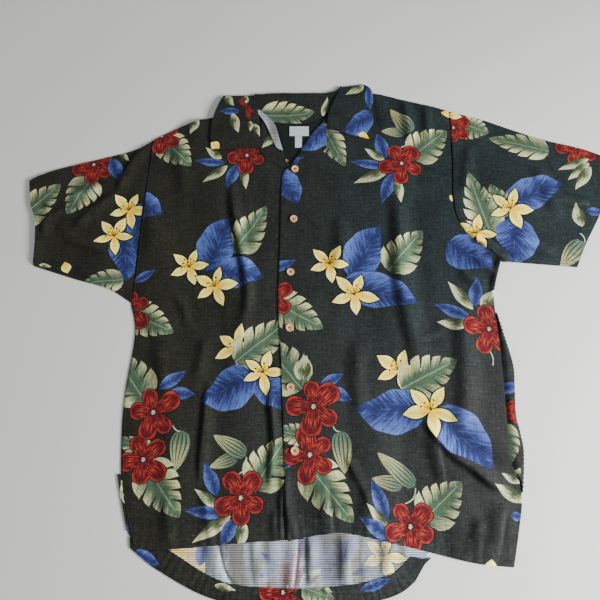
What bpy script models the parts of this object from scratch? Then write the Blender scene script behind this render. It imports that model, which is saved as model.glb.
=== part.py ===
"""A short-sleeved camp-collar shirt, buttoned and laid flat on its back, face up.

It lies on z = 0, with +Y towards the collar and +X towards the wearer's left. The button line is
x = 0 and the chest line is y = 0. Every cloth piece is a wall one CLOTH thick, a GAP clear of its
neighbours, and each layer is made from the heights of the layers that it lies on.
"""

import math

import bpy
from mathutils import Vector

# Driving dimensions, metres.
CLOTH = 0.0010
GAP = 0.0003
LAYER = CLOTH + GAP
BUTTON_RADIUS = 0.0063
BUTTON_DEPTH = 0.0030
BUTTON_SPACING = 0.0970
FIRST_BUTTON_Y = 0.2420
COLLAR_BUTTON_RADIUS = 0.0030
COLLAR_BUTTON_PLACE = (-0.0105, 0.2580)
BUTTON_LEAN = (0.004, 0.002, -0.003, -0.004, -0.002, 0.005)
SLEEVE_PUFF = 0.0024
VENT_TURN = 0.015
ROLL_RADIUS = 0.0022
ROLL_START_Y = -0.300
ROLL_END_Y = -0.020

# How many cells each edge is cut into.
ARMHOLE_CELLS = 9
SIDE_CELLS = 16
FRONT_CELLS = 14
BACK_CELLS = 30
TAIL_CELLS = 2
SLEEVE_CELLS = 10
ROLL_CELLS = 14
LAPEL_CELLS = 6
YOKE_ROWS = 5
HEM_COLUMNS = 22

# Outlines, as (x, y) points that a smooth curve runs through. R is the wearer's right, at -X.
ARMHOLE_R = ((-0.266, -0.006), (-0.263, 0.090), (-0.259, 0.184), (-0.254, 0.304))
ARMHOLE_L = ((0.352, 0.068), (0.312, 0.099), (0.286, 0.136), (0.279, 0.184), (0.284, 0.264), (0.287, 0.366))
SIDE_FRONT_R = ((-0.231, -0.379), (-0.250, -0.314), (-0.259, -0.259), (-0.263, -0.165),
                (-0.255, -0.060), (-0.266, -0.006))
SIDE_FRONT_L = ((0.322, -0.406), (0.338, -0.342), (0.344, -0.300), (0.333, -0.255), (0.335, -0.165),
                (0.336, -0.068), (0.335, 0.010), (0.352, 0.068))
SIDE_BACK_R = ((-0.234, -0.380), (-0.252, -0.320), (-0.266, -0.256), (-0.265, -0.165),
               (-0.255, -0.060), (-0.266, -0.006))
SIDE_BACK_L = ((0.322, -0.388), (0.336, -0.330), (0.343, -0.255), (0.341, -0.165), (0.337, -0.068),
               (0.335, 0.010), (0.352, 0.068))
ROLL_OUTER = ((0.3460, -0.302), (0.3510, -0.277), (0.3548, -0.241), (0.3525, -0.214), (0.3490, -0.188),
              (0.3517, -0.150), (0.3540, -0.116), (0.3500, -0.087), (0.3445, -0.058), (0.3372, -0.0225))
SHOULDER_R = ((-0.254, 0.304), (-0.214, 0.327), (-0.160, 0.348), (-0.090, 0.366))
SHOULDER_L = ((0.095, 0.392), (0.146, 0.404), (0.197, 0.392), (0.287, 0.366))
BACK_NECK = ((-0.090, 0.366), (-0.060, 0.348), (-0.005, 0.341), (0.050, 0.347), (0.095, 0.392))
ROLL_R = ((-0.090, 0.366), (-0.052, 0.352), (-0.031, 0.333), (-0.018, 0.279), (-0.005, 0.252))
ROLL_L = ((-0.003, 0.252), (0.017, 0.287), (0.031, 0.312), (0.058, 0.345), (0.095, 0.392))
PLACKET = ((-0.005, -0.371), (-0.011, -0.241), (-0.018, -0.085), (-0.023, 0.000), (-0.021, 0.090),
           (-0.020, 0.184), (-0.017, 0.232), (-0.003, 0.252))
UNDERLAP = ((0.018, -0.368), (0.018, -0.200), (0.018, 0.000), (0.018, 0.190), (0.008, 0.232),
            (-0.005, 0.252))
FRONT_HEM_R = ((-0.231, -0.379), (-0.184, -0.382), (-0.067, -0.373), (0.018, -0.368))
FRONT_HEM_L = ((-0.005, -0.371), (0.031, -0.364), (0.079, -0.360), (0.159, -0.376), (0.259, -0.399),
               (0.322, -0.406))
TAIL = ((-0.234, -0.380), (-0.189, -0.411), (-0.104, -0.449), (0.013, -0.463), (0.130, -0.448),
        (0.175, -0.427), (0.192, -0.402), (0.240, -0.386), (0.322, -0.388))
TAIL_FOLD = ((-0.236, -0.366), (-0.184, -0.380), (-0.095, -0.425), (0.013, -0.433), (0.099, -0.427),
             (0.150, -0.412), (0.180, -0.388), (0.240, -0.362), (0.325, -0.360))
SLEEVE_TOP_R = ((-0.254, 0.304), (-0.283, 0.285), (-0.353, 0.264), (-0.423, 0.244), (-0.465, 0.224))
SLEEVE_UNDER_R = ((-0.266, -0.006), (-0.305, 0.018), (-0.362, 0.035), (-0.436, 0.059))
CUFF_R = ((-0.436, 0.059), (-0.438, 0.108), (-0.444, 0.146), (-0.456, 0.175), (-0.465, 0.224))
SLEEVE_TOP_L = ((0.287, 0.366), (0.348, 0.348), (0.399, 0.327), (0.453, 0.306), (0.528, 0.285),
                (0.587, 0.258))
SLEEVE_UNDER_L = ((0.352, 0.068), (0.419, 0.062), (0.480, 0.057))
CUFF_L = ((0.480, 0.057), (0.500, 0.099), (0.535, 0.159), (0.587, 0.258))
LAPEL_OUTER_R = ((-0.014, 0.2435), (-0.036, 0.257), (-0.0575, 0.277), (-0.0575, 0.343))
LAPEL_ROLL_R = ((-0.005, 0.2500), (-0.018, 0.279), (-0.029, 0.322), (-0.038, 0.335))
LAPEL_ROLL_L = ((-0.002, 0.2530), (0.017, 0.287), (0.031, 0.312), (0.0555, 0.342))
LAPEL_OUTER_L = ((0.006, 0.2510), (0.024, 0.268), (0.058, 0.279), (0.0605, 0.318))

# Columns: fold name, start x, start y, end x, end y, half width, height.
FOLDS = (
    ("chest_long_r", -0.118, 0.194, -0.106, -0.035, 0.020, 0.0045),
    ("chest_short_r", -0.075, 0.030, -0.070, -0.040, 0.016, 0.0030),
    ("waist_r", -0.155, -0.140, -0.165, -0.260, 0.022, 0.0035),
    ("side_r", -0.215, 0.020, -0.225, -0.200, 0.024, 0.0030),
    ("shoulder_r", -0.200, 0.275, -0.225, 0.080, 0.024, 0.0035),
    ("chest_long_l", 0.142, 0.230, 0.165, -0.060, 0.020, 0.0050),
    ("shoulder_l", 0.170, 0.370, 0.190, 0.200, 0.022, 0.0050),
    ("armpit_l", 0.255, 0.150, 0.325, 0.055, 0.022, 0.0080),
    ("hip_l", 0.205, -0.215, 0.325, -0.285, 0.022, 0.0090),
    ("vent_l", 0.285, -0.290, 0.300, -0.370, 0.026, 0.0090),
    ("side_l", 0.255, 0.020, 0.275, -0.180, 0.028, 0.0050),
    ("sleeve_r", -0.290, 0.190, -0.420, 0.120, 0.022, 0.0030),
    ("sleeve_l", 0.330, 0.240, 0.480, 0.170, 0.024, 0.0040),
)
# Columns: collar row name, neck seam x, y, roll x, y, outer edge x, y, stand height, outer height.
COLLAR_ROWS = (
    ("front_edge_r", -0.082, 0.290, -0.060, 0.283, -0.146, 0.283, 0.0057, 0.0075),
    ("wing_low_r", -0.082, 0.312, -0.060, 0.308, -0.148, 0.306, 0.0057, 0.0090),
    ("wing_mid_r", -0.082, 0.335, -0.061, 0.333, -0.147, 0.338, 0.0057, 0.0100),
    ("wing_top_r", -0.086, 0.358, -0.064, 0.362, -0.139, 0.370, 0.0057, 0.0100),
    ("turn_over_r", -0.084, 0.372, -0.072, 0.398, -0.127, 0.398, 0.0057, 0.0040),
    ("turn_under_r", -0.070, 0.358, -0.058, 0.401, -0.112, 0.379, 0.0057, 0.0005),
    ("back_r", -0.048, 0.343, -0.040, 0.403, -0.075, 0.330, 0.0057, 0.0005),
    ("back_mid_r", -0.024, 0.339, -0.018, 0.404, -0.036, 0.321, 0.0053, 0.0005),
    ("back_centre", 0.005, 0.338, 0.008, 0.404, 0.006, 0.318, 0.0045, 0.0005),
    ("back_mid_l", 0.032, 0.340, 0.036, 0.404, 0.046, 0.322, 0.0053, 0.0005),
    ("back_l", 0.054, 0.350, 0.062, 0.404, 0.084, 0.336, 0.0057, 0.0005),
    ("turn_under_l", 0.078, 0.378, 0.080, 0.410, 0.120, 0.415, 0.0057, 0.0005),
    ("turn_over_l", 0.090, 0.398, 0.090, 0.418, 0.133, 0.422, 0.0057, 0.0040),
    ("wing_top_l", 0.095, 0.382, 0.079, 0.392, 0.146, 0.404, 0.0057, 0.0100),
    ("wing_mid_l", 0.088, 0.360, 0.067, 0.366, 0.147, 0.370, 0.0057, 0.0100),
    ("wing_low_l", 0.084, 0.342, 0.063, 0.345, 0.146, 0.335, 0.0057, 0.0090),
    ("front_edge_l", 0.086, 0.328, 0.064, 0.324, 0.144, 0.302, 0.0057, 0.0075),
)


def smooth(value, low, high):
    """0 at low, 1 at high and an even S between them; low may be the larger."""
    t = min(max((value - low) / (high - low), 0.0), 1.0)
    return t * t * (3.0 - 2.0 * t)


def curve(points, cells):
    """Points at even lengths along a Catmull-Rom curve through the given points."""
    ends = [Vector(p) for p in points]
    ends = [2 * ends[0] - ends[1]] + ends + [2 * ends[-1] - ends[-2]]
    fine = []
    for a, b, c, d in zip(ends, ends[1:], ends[2:], ends[3:]):
        for step in range(24):
            t = step / 24
            fine.append(0.5 * (2 * b + (c - a) * t + (2 * a - 5 * b + 4 * c - d) * t * t
                               + (3 * b - a - 3 * c + d) * t ** 3))
    fine.append(ends[-2])
    lengths = [0.0]
    for a, b in zip(fine, fine[1:]):
        lengths.append(lengths[-1] + (b - a).length)
    result = []
    place = 0
    for cell in range(cells + 1):
        wanted = lengths[-1] * cell / cells
        while place < len(fine) - 2 and lengths[place + 1] < wanted:
            place += 1
        part = (wanted - lengths[place]) / max(lengths[place + 1] - lengths[place], 1e-9)
        result.append(fine[place].lerp(fine[place + 1], min(part, 1.0)))
    return result


def patch(bottom, top, left, right):
    """Coons patch of plan points: rows run from the bottom edge to the top edge."""
    columns = len(bottom) - 1
    rows = len(left) - 1
    grid = []
    for j in range(rows + 1):
        v = j / rows
        line = []
        for i in range(columns + 1):
            u = i / columns
            ruled = (1 - v) * bottom[i] + v * top[i] + (1 - u) * left[j] + u * right[j]
            corners = (1 - v) * ((1 - u) * bottom[0] + u * bottom[-1]) + v * ((1 - u) * top[0] + u * top[-1])
            line.append(ruled - corners)
        grid.append(line)
    return grid


def fold_height(x, y):
    """How far the folds of the fronts and of the sleeves' upper side stand up."""
    here = Vector((x, y))
    height = 0.0
    for _, x0, y0, x1, y1, width, rise in FOLDS:
        start = Vector((x0, y0))
        along = Vector((x1, y1)) - start
        t = min(max((here - start).dot(along) / along.length_squared, 0.0), 1.0)
        distance = (here - start - t * along).length
        height = max(height, rise * math.exp(-(distance / width) ** 2))
    flat_by_placket = smooth(abs(x), 0.030, 0.065)
    flat_by_neck = 1.0 - smooth(y, 0.210, 0.250) * smooth(abs(x - 0.005), 0.190, 0.150)
    return height * flat_by_placket * flat_by_neck


def back_lift(x, y):
    """The back rises over the collar's fall, and over one fold in the middle of the tail."""
    over_fall = LAYER * smooth(y, 0.100, 0.180) * smooth(abs(x - 0.005), 0.240, 0.150)
    tail_fold = 0.005 * smooth(y, -0.345, -0.420) * (1.0 - smooth(abs(x - 0.012), 0.014, 0.042))
    return over_fall + tail_fold


def front_lift(x, y):
    """The underside of the upper layer: over the back, the yoke lining, the tail's hem and its folds."""
    over_yoke = LAYER * smooth(y, 0.100, 0.180) * smooth(abs(x - 0.005), 0.240, 0.150)
    over_hem = LAYER * smooth(y, -0.252, -0.276)
    return LAYER + back_lift(x, y) + over_yoke + over_hem + fold_height(x, y)


def placket_lift(x, y):
    """The wearer's left front lies over the underlap of the right front."""
    return front_lift(x, y) + LAYER * smooth(x, 0.078, 0.042) * smooth(y, 0.290, 0.245)


def heights(grid, lift):
    return [[Vector((p.x, p.y, lift(p.x, p.y))) for p in line] for line in grid]


def material(name, colour, roughness, metallic=0.0):
    made = bpy.data.materials.new(name)
    made.use_nodes = True
    shader = made.node_tree.nodes["Principled BSDF"]
    shader.inputs["Base Color"].default_value = (*colour, 1.0)
    shader.inputs["Roughness"].default_value = roughness
    shader.inputs["Metallic"].default_value = metallic
    return made


def add_object(name, points, faces, surface):
    mesh = bpy.data.meshes.new(name)
    mesh.from_pydata([tuple(p) for p in points], [], faces)
    mesh.materials.append(surface)
    mesh.shade_smooth()
    mesh.set_sharp_from_angle(angle=math.radians(40))
    made = bpy.data.objects.new(name, mesh)
    bpy.context.scene.collection.objects.link(made)
    return made


def close_wall(name, lower, upper, surface):
    """A closed wall between two grids of points that have the same rows and columns."""
    rows = len(lower)
    columns = len(lower[0])
    points = [p for line in lower for p in line] + [p for line in upper for p in line]
    above = rows * columns
    faces = []
    for j in range(rows - 1):
        for i in range(columns - 1):
            a = j * columns + i
            quad = (a, a + 1, a + columns + 1, a + columns)
            faces.append(tuple(reversed(quad)))
            faces.append(tuple(above + k for k in quad))
    rim = [i for i in range(columns)]
    rim += [j * columns + columns - 1 for j in range(1, rows)]
    rim += [(rows - 1) * columns + i for i in range(columns - 2, -1, -1)]
    rim += [j * columns for j in range(rows - 2, 0, -1)]
    for a, b in zip(rim, rim[1:] + rim[:1]):
        faces.append((a, b, above + b, above + a))
    return add_object(name, points, faces, surface)


def panel(name, plan, lift, surface):
    """A cloth panel: its underside follows the lift and its top is one CLOTH above."""
    lower = heights(plan, lift)
    upper = [[p + Vector((0.0, 0.0, CLOTH)) for p in line] for line in lower]
    return close_wall(name, lower, upper, surface)


def inset(points, distance):
    """A seam line moved sideways, to its left, so that two pieces meet there with a gap."""
    moved = []
    for k, p in enumerate(points):
        run = points[min(k + 1, len(points) - 1)] - points[max(k - 1, 0)]
        moved.append(p + Vector((-run.y, run.x)).normalized() * distance)
    return moved


def side_and_armhole(side, armhole):
    return curve(side, SIDE_CELLS) + curve(armhole, ARMHOLE_CELLS)[1:]


def centre_front(lower_edge):
    return curve(lower_edge, SIDE_CELLS + ARMHOLE_CELLS)


def front_right(surface):
    neck = curve(SHOULDER_R, FRONT_CELLS // 2) + curve(ROLL_R, FRONT_CELLS - FRONT_CELLS // 2)[1:]
    left = side_and_armhole(SIDE_FRONT_R, ARMHOLE_R)
    plan = patch(curve(FRONT_HEM_R, FRONT_CELLS), neck, left, centre_front(UNDERLAP))
    return panel("front_right", plan, front_lift, surface)


def front_left_plan():
    neck = curve(ROLL_L, FRONT_CELLS - FRONT_CELLS // 2) + curve(SHOULDER_L, FRONT_CELLS // 2)[1:]
    right = side_and_armhole(SIDE_FRONT_L, ARMHOLE_L)
    return patch(curve(FRONT_HEM_L, FRONT_CELLS), neck, centre_front(PLACKET), right)


def back_plan():
    """Rows of the tail's turned hem first, then the rest of the back up to the neck."""
    outer = curve(TAIL, BACK_CELLS)
    fold = curve(TAIL_FOLD, BACK_CELLS)
    hem = [[a.lerp(b, j / TAIL_CELLS) for a, b in zip(outer, fold)] for j in range(TAIL_CELLS + 1)]
    left = side_and_armhole(SIDE_BACK_R, ARMHOLE_R)
    right = side_and_armhole(SIDE_BACK_L, ARMHOLE_L)
    left[0] = fold[0]
    right[0] = fold[-1]
    shoulder = BACK_CELLS // 3
    top = curve(SHOULDER_R, shoulder) + curve(BACK_NECK, BACK_CELLS - 2 * shoulder)[1:]
    top += curve(SHOULDER_L, shoulder)[1:]
    return hem[:-1] + patch(fold, top, left, right)


def near_x(points, y):
    """The x at which a line of points passes a height y."""
    for a, b in zip(points, points[1:]):
        if min(a.y, b.y) <= y <= max(a.y, b.y):
            return a.x + (b.x - a.x) * (y - a.y) / (b.y - a.y)
    return points[-1].x


def thick_wall(name, middle, surface):
    """A wall half a CLOTH to each side of a grid of points, square to the grid."""
    rows = len(middle)
    columns = len(middle[0])
    lower = []
    upper = []
    for j in range(rows):
        below = []
        above = []
        for i in range(columns):
            across = middle[j][min(i + 1, columns - 1)] - middle[j][max(i - 1, 0)]
            along = middle[min(j + 1, rows - 1)][i] - middle[max(j - 1, 0)][i]
            normal = across.cross(along).normalized()
            below.append(middle[j][i] - normal * CLOTH / 2)
            above.append(middle[j][i] + normal * CLOTH / 2)
        lower.append(below)
        upper.append(above)
    return close_wall(name, lower, upper, surface)


def back_side_roll(surface):
    """The strip of the back that rolls round the wearer's left side to meet the front's seam."""
    seam_line = curve(SIDE_FRONT_L, 60)
    fold_line = curve(SIDE_BACK_L, 60)
    outer_line = curve(ROLL_OUTER, 60)
    middle = []
    for cell in range(ROLL_CELLS + 1):
        t = cell / ROLL_CELLS
        y = ROLL_START_Y + (ROLL_END_Y - ROLL_START_Y) * t
        seam = near_x(seam_line, y) + 2 * GAP
        start = near_x(fold_line, y) + GAP
        radius = ROLL_RADIUS * (1.0 - 0.4 * smooth(t, 0.4, 1.0))
        centre = max(start + 0.0005, seam + 0.003, near_x(outer_line, y) - radius)
        line = [(start, CLOTH / 2)]
        for turn in (-90, -50, 0, 50, 90):
            angle = math.radians(turn)
            line.append((centre + radius * math.cos(angle), CLOTH / 2 + radius * (1 + math.sin(angle))))
        line.append(((centre + seam) / 2, LAYER + CLOTH / 2 + 0.8 * radius))
        line.append((seam, LAYER + CLOTH / 2 + 0.5 * radius))
        middle.append([Vector((x, y, z)) for x, z in line])
    return thick_wall("back_side_roll", middle, surface)


def collar(surface):
    """Stand and fall in one strip: it turns over at the roll line, and passes under the back."""
    middle = []
    for _, nx, ny, rx, ry, ex, ey, stand, outer in COLLAR_ROWS:
        neck = Vector((nx, ny, stand))
        roll = Vector((rx, ry, stand))
        edge = Vector((ex, ey, outer))
        turn = Vector((rx, ry, outer))
        outward = (roll - neck).normalized()
        radius = abs(outer - stand) / 2
        line = [neck, neck.lerp(roll, 0.5), roll - outward * radius]
        centre = (roll + turn) / 2 - outward * radius
        up = (turn - roll) / 2
        for degrees in (-45, 0, 45):
            angle = math.radians(degrees)
            line.append(centre + outward * radius * math.cos(angle) + up * math.sin(angle))
        start = turn - outward * radius
        line += [start, start.lerp(edge, 0.33), start.lerp(edge, 0.66), edge]
        middle.append(line)
    return thick_wall("collar", middle, surface)


def sleeve(name, armhole, cuff, under, top, surface):
    """A tube pressed flat: an outer and an inner skin, open at the armhole and at the cuff."""
    sides = [curve(armhole, ARMHOLE_CELLS), curve(cuff, ARMHOLE_CELLS)]
    flip = -1 if cuff[0][0] < armhole[0][0] else 1
    sides[0] = inset(sides[0], -GAP * flip)
    plan = patch(curve(under, SLEEVE_CELLS), curve(top, SLEEVE_CELLS), sides[0], sides[1])
    rings = []
    for i in range(SLEEVE_CELLS + 1):
        line = [row[i] for row in plan]
        puff = [SLEEVE_PUFF * smooth(i, 0, 3) * math.sin(math.pi * j / ARMHOLE_CELLS) ** 0.7
                for j in range(ARMHOLE_CELLS + 1)]
        roof = [LAYER + fold_height(p.x, p.y) + rise for p, rise in zip(line, puff)]
        low = (line[1] - line[0]).normalized()
        high = (line[-1] - line[-2]).normalized()
        inner = [line[0] + low * 1.6 * CLOTH] + line[1:-1] + [line[-1] - high * 1.6 * CLOTH]
        middle_low = (roof[0] + CLOTH) / 2
        middle_high = (roof[-1] + CLOTH) / 2
        outer_ring = [(*line[0], middle_low)]
        trimmed = [line[0] + low * 0.6 * CLOTH] + line[1:-1] + [line[-1] - high * 0.6 * CLOTH]
        outer_ring += [(*p, 0.0) for p in trimmed]
        outer_ring += [(*line[-1], middle_high)]
        upper = [line[0] + low * 0.6 * CLOTH] + line[1:-1] + [line[-1] - high * 0.6 * CLOTH]
        outer_ring += [(*p, z + CLOTH) for p, z in reversed(list(zip(upper, roof)))]
        inner_ring = [(*(line[0] + low * 1.1 * CLOTH), middle_low)]
        inner_ring += [(*p, CLOTH) for p in inner]
        inner_ring += [(*(line[-1] - high * 1.1 * CLOTH), middle_high)]
        inner_ring += [(*p, z) for p, z in reversed(list(zip(inner, roof)))]
        rings.append((outer_ring, inner_ring))
    count = len(rings[0][0])
    points = [Vector(p) for outer, inner_ring in rings for p in outer + inner_ring]
    faces = []
    for i in range(SLEEVE_CELLS):
        here = 2 * count * i
        there = here + 2 * count
        for k in range(count):
            n = (k + 1) % count
            faces.append((here + k, here + n, there + n, there + k))
            faces.append((here + count + n, here + count + k, there + count + k, there + count + n))
    last = 2 * count * SLEEVE_CELLS
    for k in range(count):
        n = (k + 1) % count
        faces.append((n, k, count + k, count + n))
        faces.append((last + k, last + n, last + count + n, last + count + k))
    if flip < 0:
        faces = [tuple(reversed(face)) for face in faces]
    return add_object(name, points, faces, surface)


def lapel(name, roll, outer, lift, surface):
    """A front facing where it turns outwards as the lapel, raised along the roll line."""
    left = curve(roll, LAPEL_CELLS)
    right = curve(outer, LAPEL_CELLS)
    if left[0].x > right[0].x:
        left, right = right, left
    cells = 4
    bottom = [left[0].lerp(right[0], i / cells) for i in range(cells + 1)]
    top = [left[-1].lerp(right[-1], i / cells) for i in range(cells + 1)]
    return panel(name, patch(bottom, top, left, right), lift, surface)


def lapel_lift_r(x, y):
    return front_lift(x, y) + LAYER + 0.6 * CLOTH


def lapel_lift_l(x, y):
    return placket_lift(x, y) + LAYER + 0.6 * CLOTH


def flat_label(name, low_x, low_y, high_x, high_y, surface):
    """A woven label lying on the yoke lining."""
    plan = [[Vector((x, y)) for x in (low_x, (low_x + high_x) / 2, high_x)] for y in (low_y, high_y)]
    return panel(name, plan, lambda x, y: back_lift(x, y) + 2 * LAYER, surface)


def button(name, x, y, seat, radius, depth, hole_radius, surface):
    """A round button: a raised rim round a dished middle, with four holes right through."""
    profile = [(0.60 * radius, 0.72 * depth), (0.72 * radius, depth), (0.92 * radius, depth),
               (radius, 0.72 * depth), (radius, 0.28 * depth), (0.88 * radius, 0.0)]
    sides = 28
    points = [Vector((0, 0, 0.66 * depth)), Vector((0, 0, 0))]
    for r, z in profile:
        for k in range(sides):
            angle = 2 * math.pi * k / sides
            points.append(Vector((r * math.cos(angle), r * math.sin(angle), z)))
    faces = []
    for k in range(sides):
        n = (k + 1) % sides
        faces.append((0, 2 + k, 2 + n))
        for ring in range(len(profile) - 1):
            a = 2 + ring * sides
            faces.append((a + k, a + sides + k, a + sides + n, a + n))
        last = 2 + (len(profile) - 1) * sides
        faces.append((1, last + n, last + k))
    made = add_object(name, points, faces, surface)
    made.location = (x, y, seat)
    for number in range(4):
        angle = math.radians(45 + 90 * number)
        offset = 0.24 * radius
        bpy.ops.mesh.primitive_cylinder_add(vertices=8, radius=hole_radius, depth=3 * depth)
        cutter = bpy.context.object
        cutter.name = f"{name}_hole_{number + 1}"
        cutter.location = (x + offset * math.cos(angle), y + offset * math.sin(angle), seat)
        cutter.hide_render = True
        cutter.display_type = "WIRE"
        cut = made.modifiers.new("hole", "BOOLEAN")
        cut.operation = "DIFFERENCE"
        cut.object = cutter
    return made


def main():
    for old in list(bpy.data.objects):
        bpy.data.objects.remove(old)
    print_cloth = material("printed_cloth", (0.045, 0.050, 0.045), 0.80)
    wrong_side = material("cloth_wrong_side", (0.34, 0.36, 0.36), 0.85)
    lining = material("yoke_lining_cloth", (0.015, 0.035, 0.030), 0.75)
    label = material("woven_label", (0.62, 0.66, 0.70), 0.80)
    wood = material("button_wood", (0.56, 0.36, 0.16), 0.45)
    brass = material("collar_button_brass", (0.65, 0.45, 0.15), 0.35, 1.0)

    back = back_plan()
    panel("back_panel", back, back_lift, wrong_side)
    hem = [line[:HEM_COLUMNS + 1] for line in back[:TAIL_CELLS + 1]]
    panel("back_hem_turn", hem, lambda x, y: back_lift(x, y) + LAYER, print_cloth)
    vent = [[p + Vector((0.0006 + VENT_TURN * i / 2, 0)) for i in range(3)]
            for p in curve(SIDE_BACK_R, 2 * SIDE_CELLS)[2:10]]
    panel("back_vent_turn", vent, lambda x, y: back_lift(x, y) + LAYER, print_cloth)
    back_side_roll(print_cloth)
    front_right(print_cloth)
    panel("front_left", front_left_plan(), placket_lift, print_cloth)
    sleeve("sleeve_right", ARMHOLE_R, CUFF_R, SLEEVE_UNDER_R, SLEEVE_TOP_R, print_cloth)
    sleeve("sleeve_left", ARMHOLE_L, CUFF_L, SLEEVE_UNDER_L, SLEEVE_TOP_L, print_cloth)

    shoulder = BACK_CELLS // 3
    yoke = [line[shoulder:-shoulder] for line in back[-YOKE_ROWS:]]
    panel("yoke_lining", yoke, lambda x, y: back_lift(x, y) + LAYER, lining)
    collar(print_cloth)
    lapel("facing_right", LAPEL_ROLL_R, LAPEL_OUTER_R, lapel_lift_r, print_cloth)
    lapel("facing_left", LAPEL_ROLL_L, LAPEL_OUTER_L, lapel_lift_l, print_cloth)
    flat_label("neck_label", -0.006, 0.311, 0.029, 0.331, label)
    flat_label("size_label", 0.004, 0.287, 0.0165, 0.3105, label)

    for number, x in enumerate(BUTTON_LEAN):
        y = FIRST_BUTTON_Y - BUTTON_SPACING * number
        under = [placket_lift(x, y + reach) for reach in (-2 * BUTTON_RADIUS, 0.0, 2 * BUTTON_RADIUS)]
        seat = max(under) + CLOTH + GAP
        button(f"button_{number + 1}", x, y, seat, BUTTON_RADIUS, BUTTON_DEPTH, 0.0009, wood)
    x, y = COLLAR_BUTTON_PLACE
    seat = lapel_lift_r(x, y) + CLOTH + 2 * GAP
    button("collar_button", x, y, seat, COLLAR_BUTTON_RADIUS, 0.0018, 0.0004, brass)


main()
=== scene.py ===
# %% [markdown]
# # A camp-collar shirt, laid flat
# The shirt is buttoned and lies on its back on a table. It is made here as a sewing room makes it: each
# cut piece of cloth is one sheet, printed flat, then laid over the frame that the CAD model gives. The
# frame decides where every piece lies. This script adds what the eye wants: the drawn print, the weave,
# the creases, the stitches and the buttons.

# %% Load the frame
import math
import random

import bmesh
import bpy
import numpy as np
from mathutils import Matrix, Vector, geometry


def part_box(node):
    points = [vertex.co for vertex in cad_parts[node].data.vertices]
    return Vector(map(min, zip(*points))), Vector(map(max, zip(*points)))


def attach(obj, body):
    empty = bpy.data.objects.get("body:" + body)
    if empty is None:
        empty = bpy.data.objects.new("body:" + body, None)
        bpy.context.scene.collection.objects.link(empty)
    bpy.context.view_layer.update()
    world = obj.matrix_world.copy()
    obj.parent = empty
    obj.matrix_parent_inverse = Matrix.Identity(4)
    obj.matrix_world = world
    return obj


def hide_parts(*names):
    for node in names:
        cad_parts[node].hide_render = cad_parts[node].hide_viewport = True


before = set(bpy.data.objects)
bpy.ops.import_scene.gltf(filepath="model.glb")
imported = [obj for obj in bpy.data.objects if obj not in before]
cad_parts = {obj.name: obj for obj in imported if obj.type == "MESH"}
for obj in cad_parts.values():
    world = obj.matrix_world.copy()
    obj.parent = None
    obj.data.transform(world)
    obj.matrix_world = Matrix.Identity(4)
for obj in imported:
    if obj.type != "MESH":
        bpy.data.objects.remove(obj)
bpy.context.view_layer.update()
dice = random.Random(31)
MM = 0.001
CLOTH_THICKNESS = 0.7 * MM
THIN = 0.5 * MM
WELD = 0.02 * MM

# %% [markdown]
# ## Light, floor and camera
# The shirt is looked at from above and a little from its hem, as by someone who stands at the table. A
# large soft lamp, low on the right and towards the hem, gives the folds a bright and a dark side. A
# weaker one fills in from the upper left, and the pale surroundings light the rest.

# %% Floor
bpy.ops.mesh.primitive_plane_add(size=9.0, location=(0.0, 0.0, -0.0004))
floor = bpy.context.object
floor.name = "floor"

# %% Lamps and surroundings
def new_object(name, data):
    made = bpy.data.objects.new(name, data)
    bpy.context.scene.collection.objects.link(made)
    return made


def soft_lamp(name, place, aim, size, power, colour):
    """A square area lamp that looks from its place to the aim."""
    data = bpy.data.lights.new(name, "AREA")
    data.size = size
    data.energy = power
    data.color = colour
    lamp = new_object(name, data)
    lamp.location = place
    lamp.rotation_euler = (Vector(aim) - Vector(place)).to_track_quat("-Z", "Y").to_euler()


soft_lamp("key", (1.32, -0.62, 0.90), (0.1, -0.1, 0.0), 0.6, 61.0, (1.0, 0.985, 0.96))
soft_lamp("fill", (-1.3, 0.8, 1.5), (0.0, 0.0, 0.0), 1.4, 6.0, (1.0, 0.95, 0.88))
world = bpy.data.worlds.new("studio")
bpy.context.scene.world = world
world.use_nodes = True
surroundings = world.node_tree.nodes["Background"].inputs
surroundings["Color"].default_value = (0.93, 0.97, 1.0, 1.0)
surroundings["Strength"].default_value = 0.34

# %% Camera
CAMERA_TILT = math.radians(18.0)
CAMERA_DISTANCE = 0.976
SHIRT_MIDDLE = Vector((0.013, 0.0, 0.0))
camera_data = bpy.data.cameras.new("camera")
camera_data.angle = math.radians(54.0)
camera = new_object("camera", camera_data)
towards_camera = Vector((0.0, -math.sin(CAMERA_TILT), math.cos(CAMERA_TILT)))
camera.location = SHIRT_MIDDLE + CAMERA_DISTANCE * towards_camera
camera.rotation_euler = (CAMERA_TILT, 0.0, 0.0)
bpy.context.scene.camera = camera
print("camera at", tuple(round(c, 3) for c in camera.location))

# %% [markdown]
# ## Materials as arithmetic
# A finish is a chain of small sums on patterns. The two classes here let those sums be written as plain
# Python: a `Value` wraps a socket, and adding or multiplying Values adds Math nodes.

# %% Sockets that add up
class Value:
    """A socket of a material. Sums and products on it add Math nodes."""

    def __init__(self, paint, socket):
        self.paint = paint
        self.socket = socket

    def math(self, operation, *others):
        return self.paint.node("ShaderNodeMath", {"operation": operation}, *others)

    def __add__(self, other):
        return self.math("ADD", self, other)

    def __sub__(self, other):
        return self.math("SUBTRACT", self, other)

    def __rsub__(self, other):
        return self.math("SUBTRACT", other, self)

    def __mul__(self, other):
        return self.math("MULTIPLY", self, other)

    def __truediv__(self, other):
        return self.math("DIVIDE", self, other)

    def __abs__(self):
        return self.math("ABSOLUTE", self)

    def power(self, exponent):
        return self.math("POWER", self, exponent)

    def sine(self):
        return self.math("SINE", self)

    __radd__ = __add__
    __rmul__ = __mul__


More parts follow.
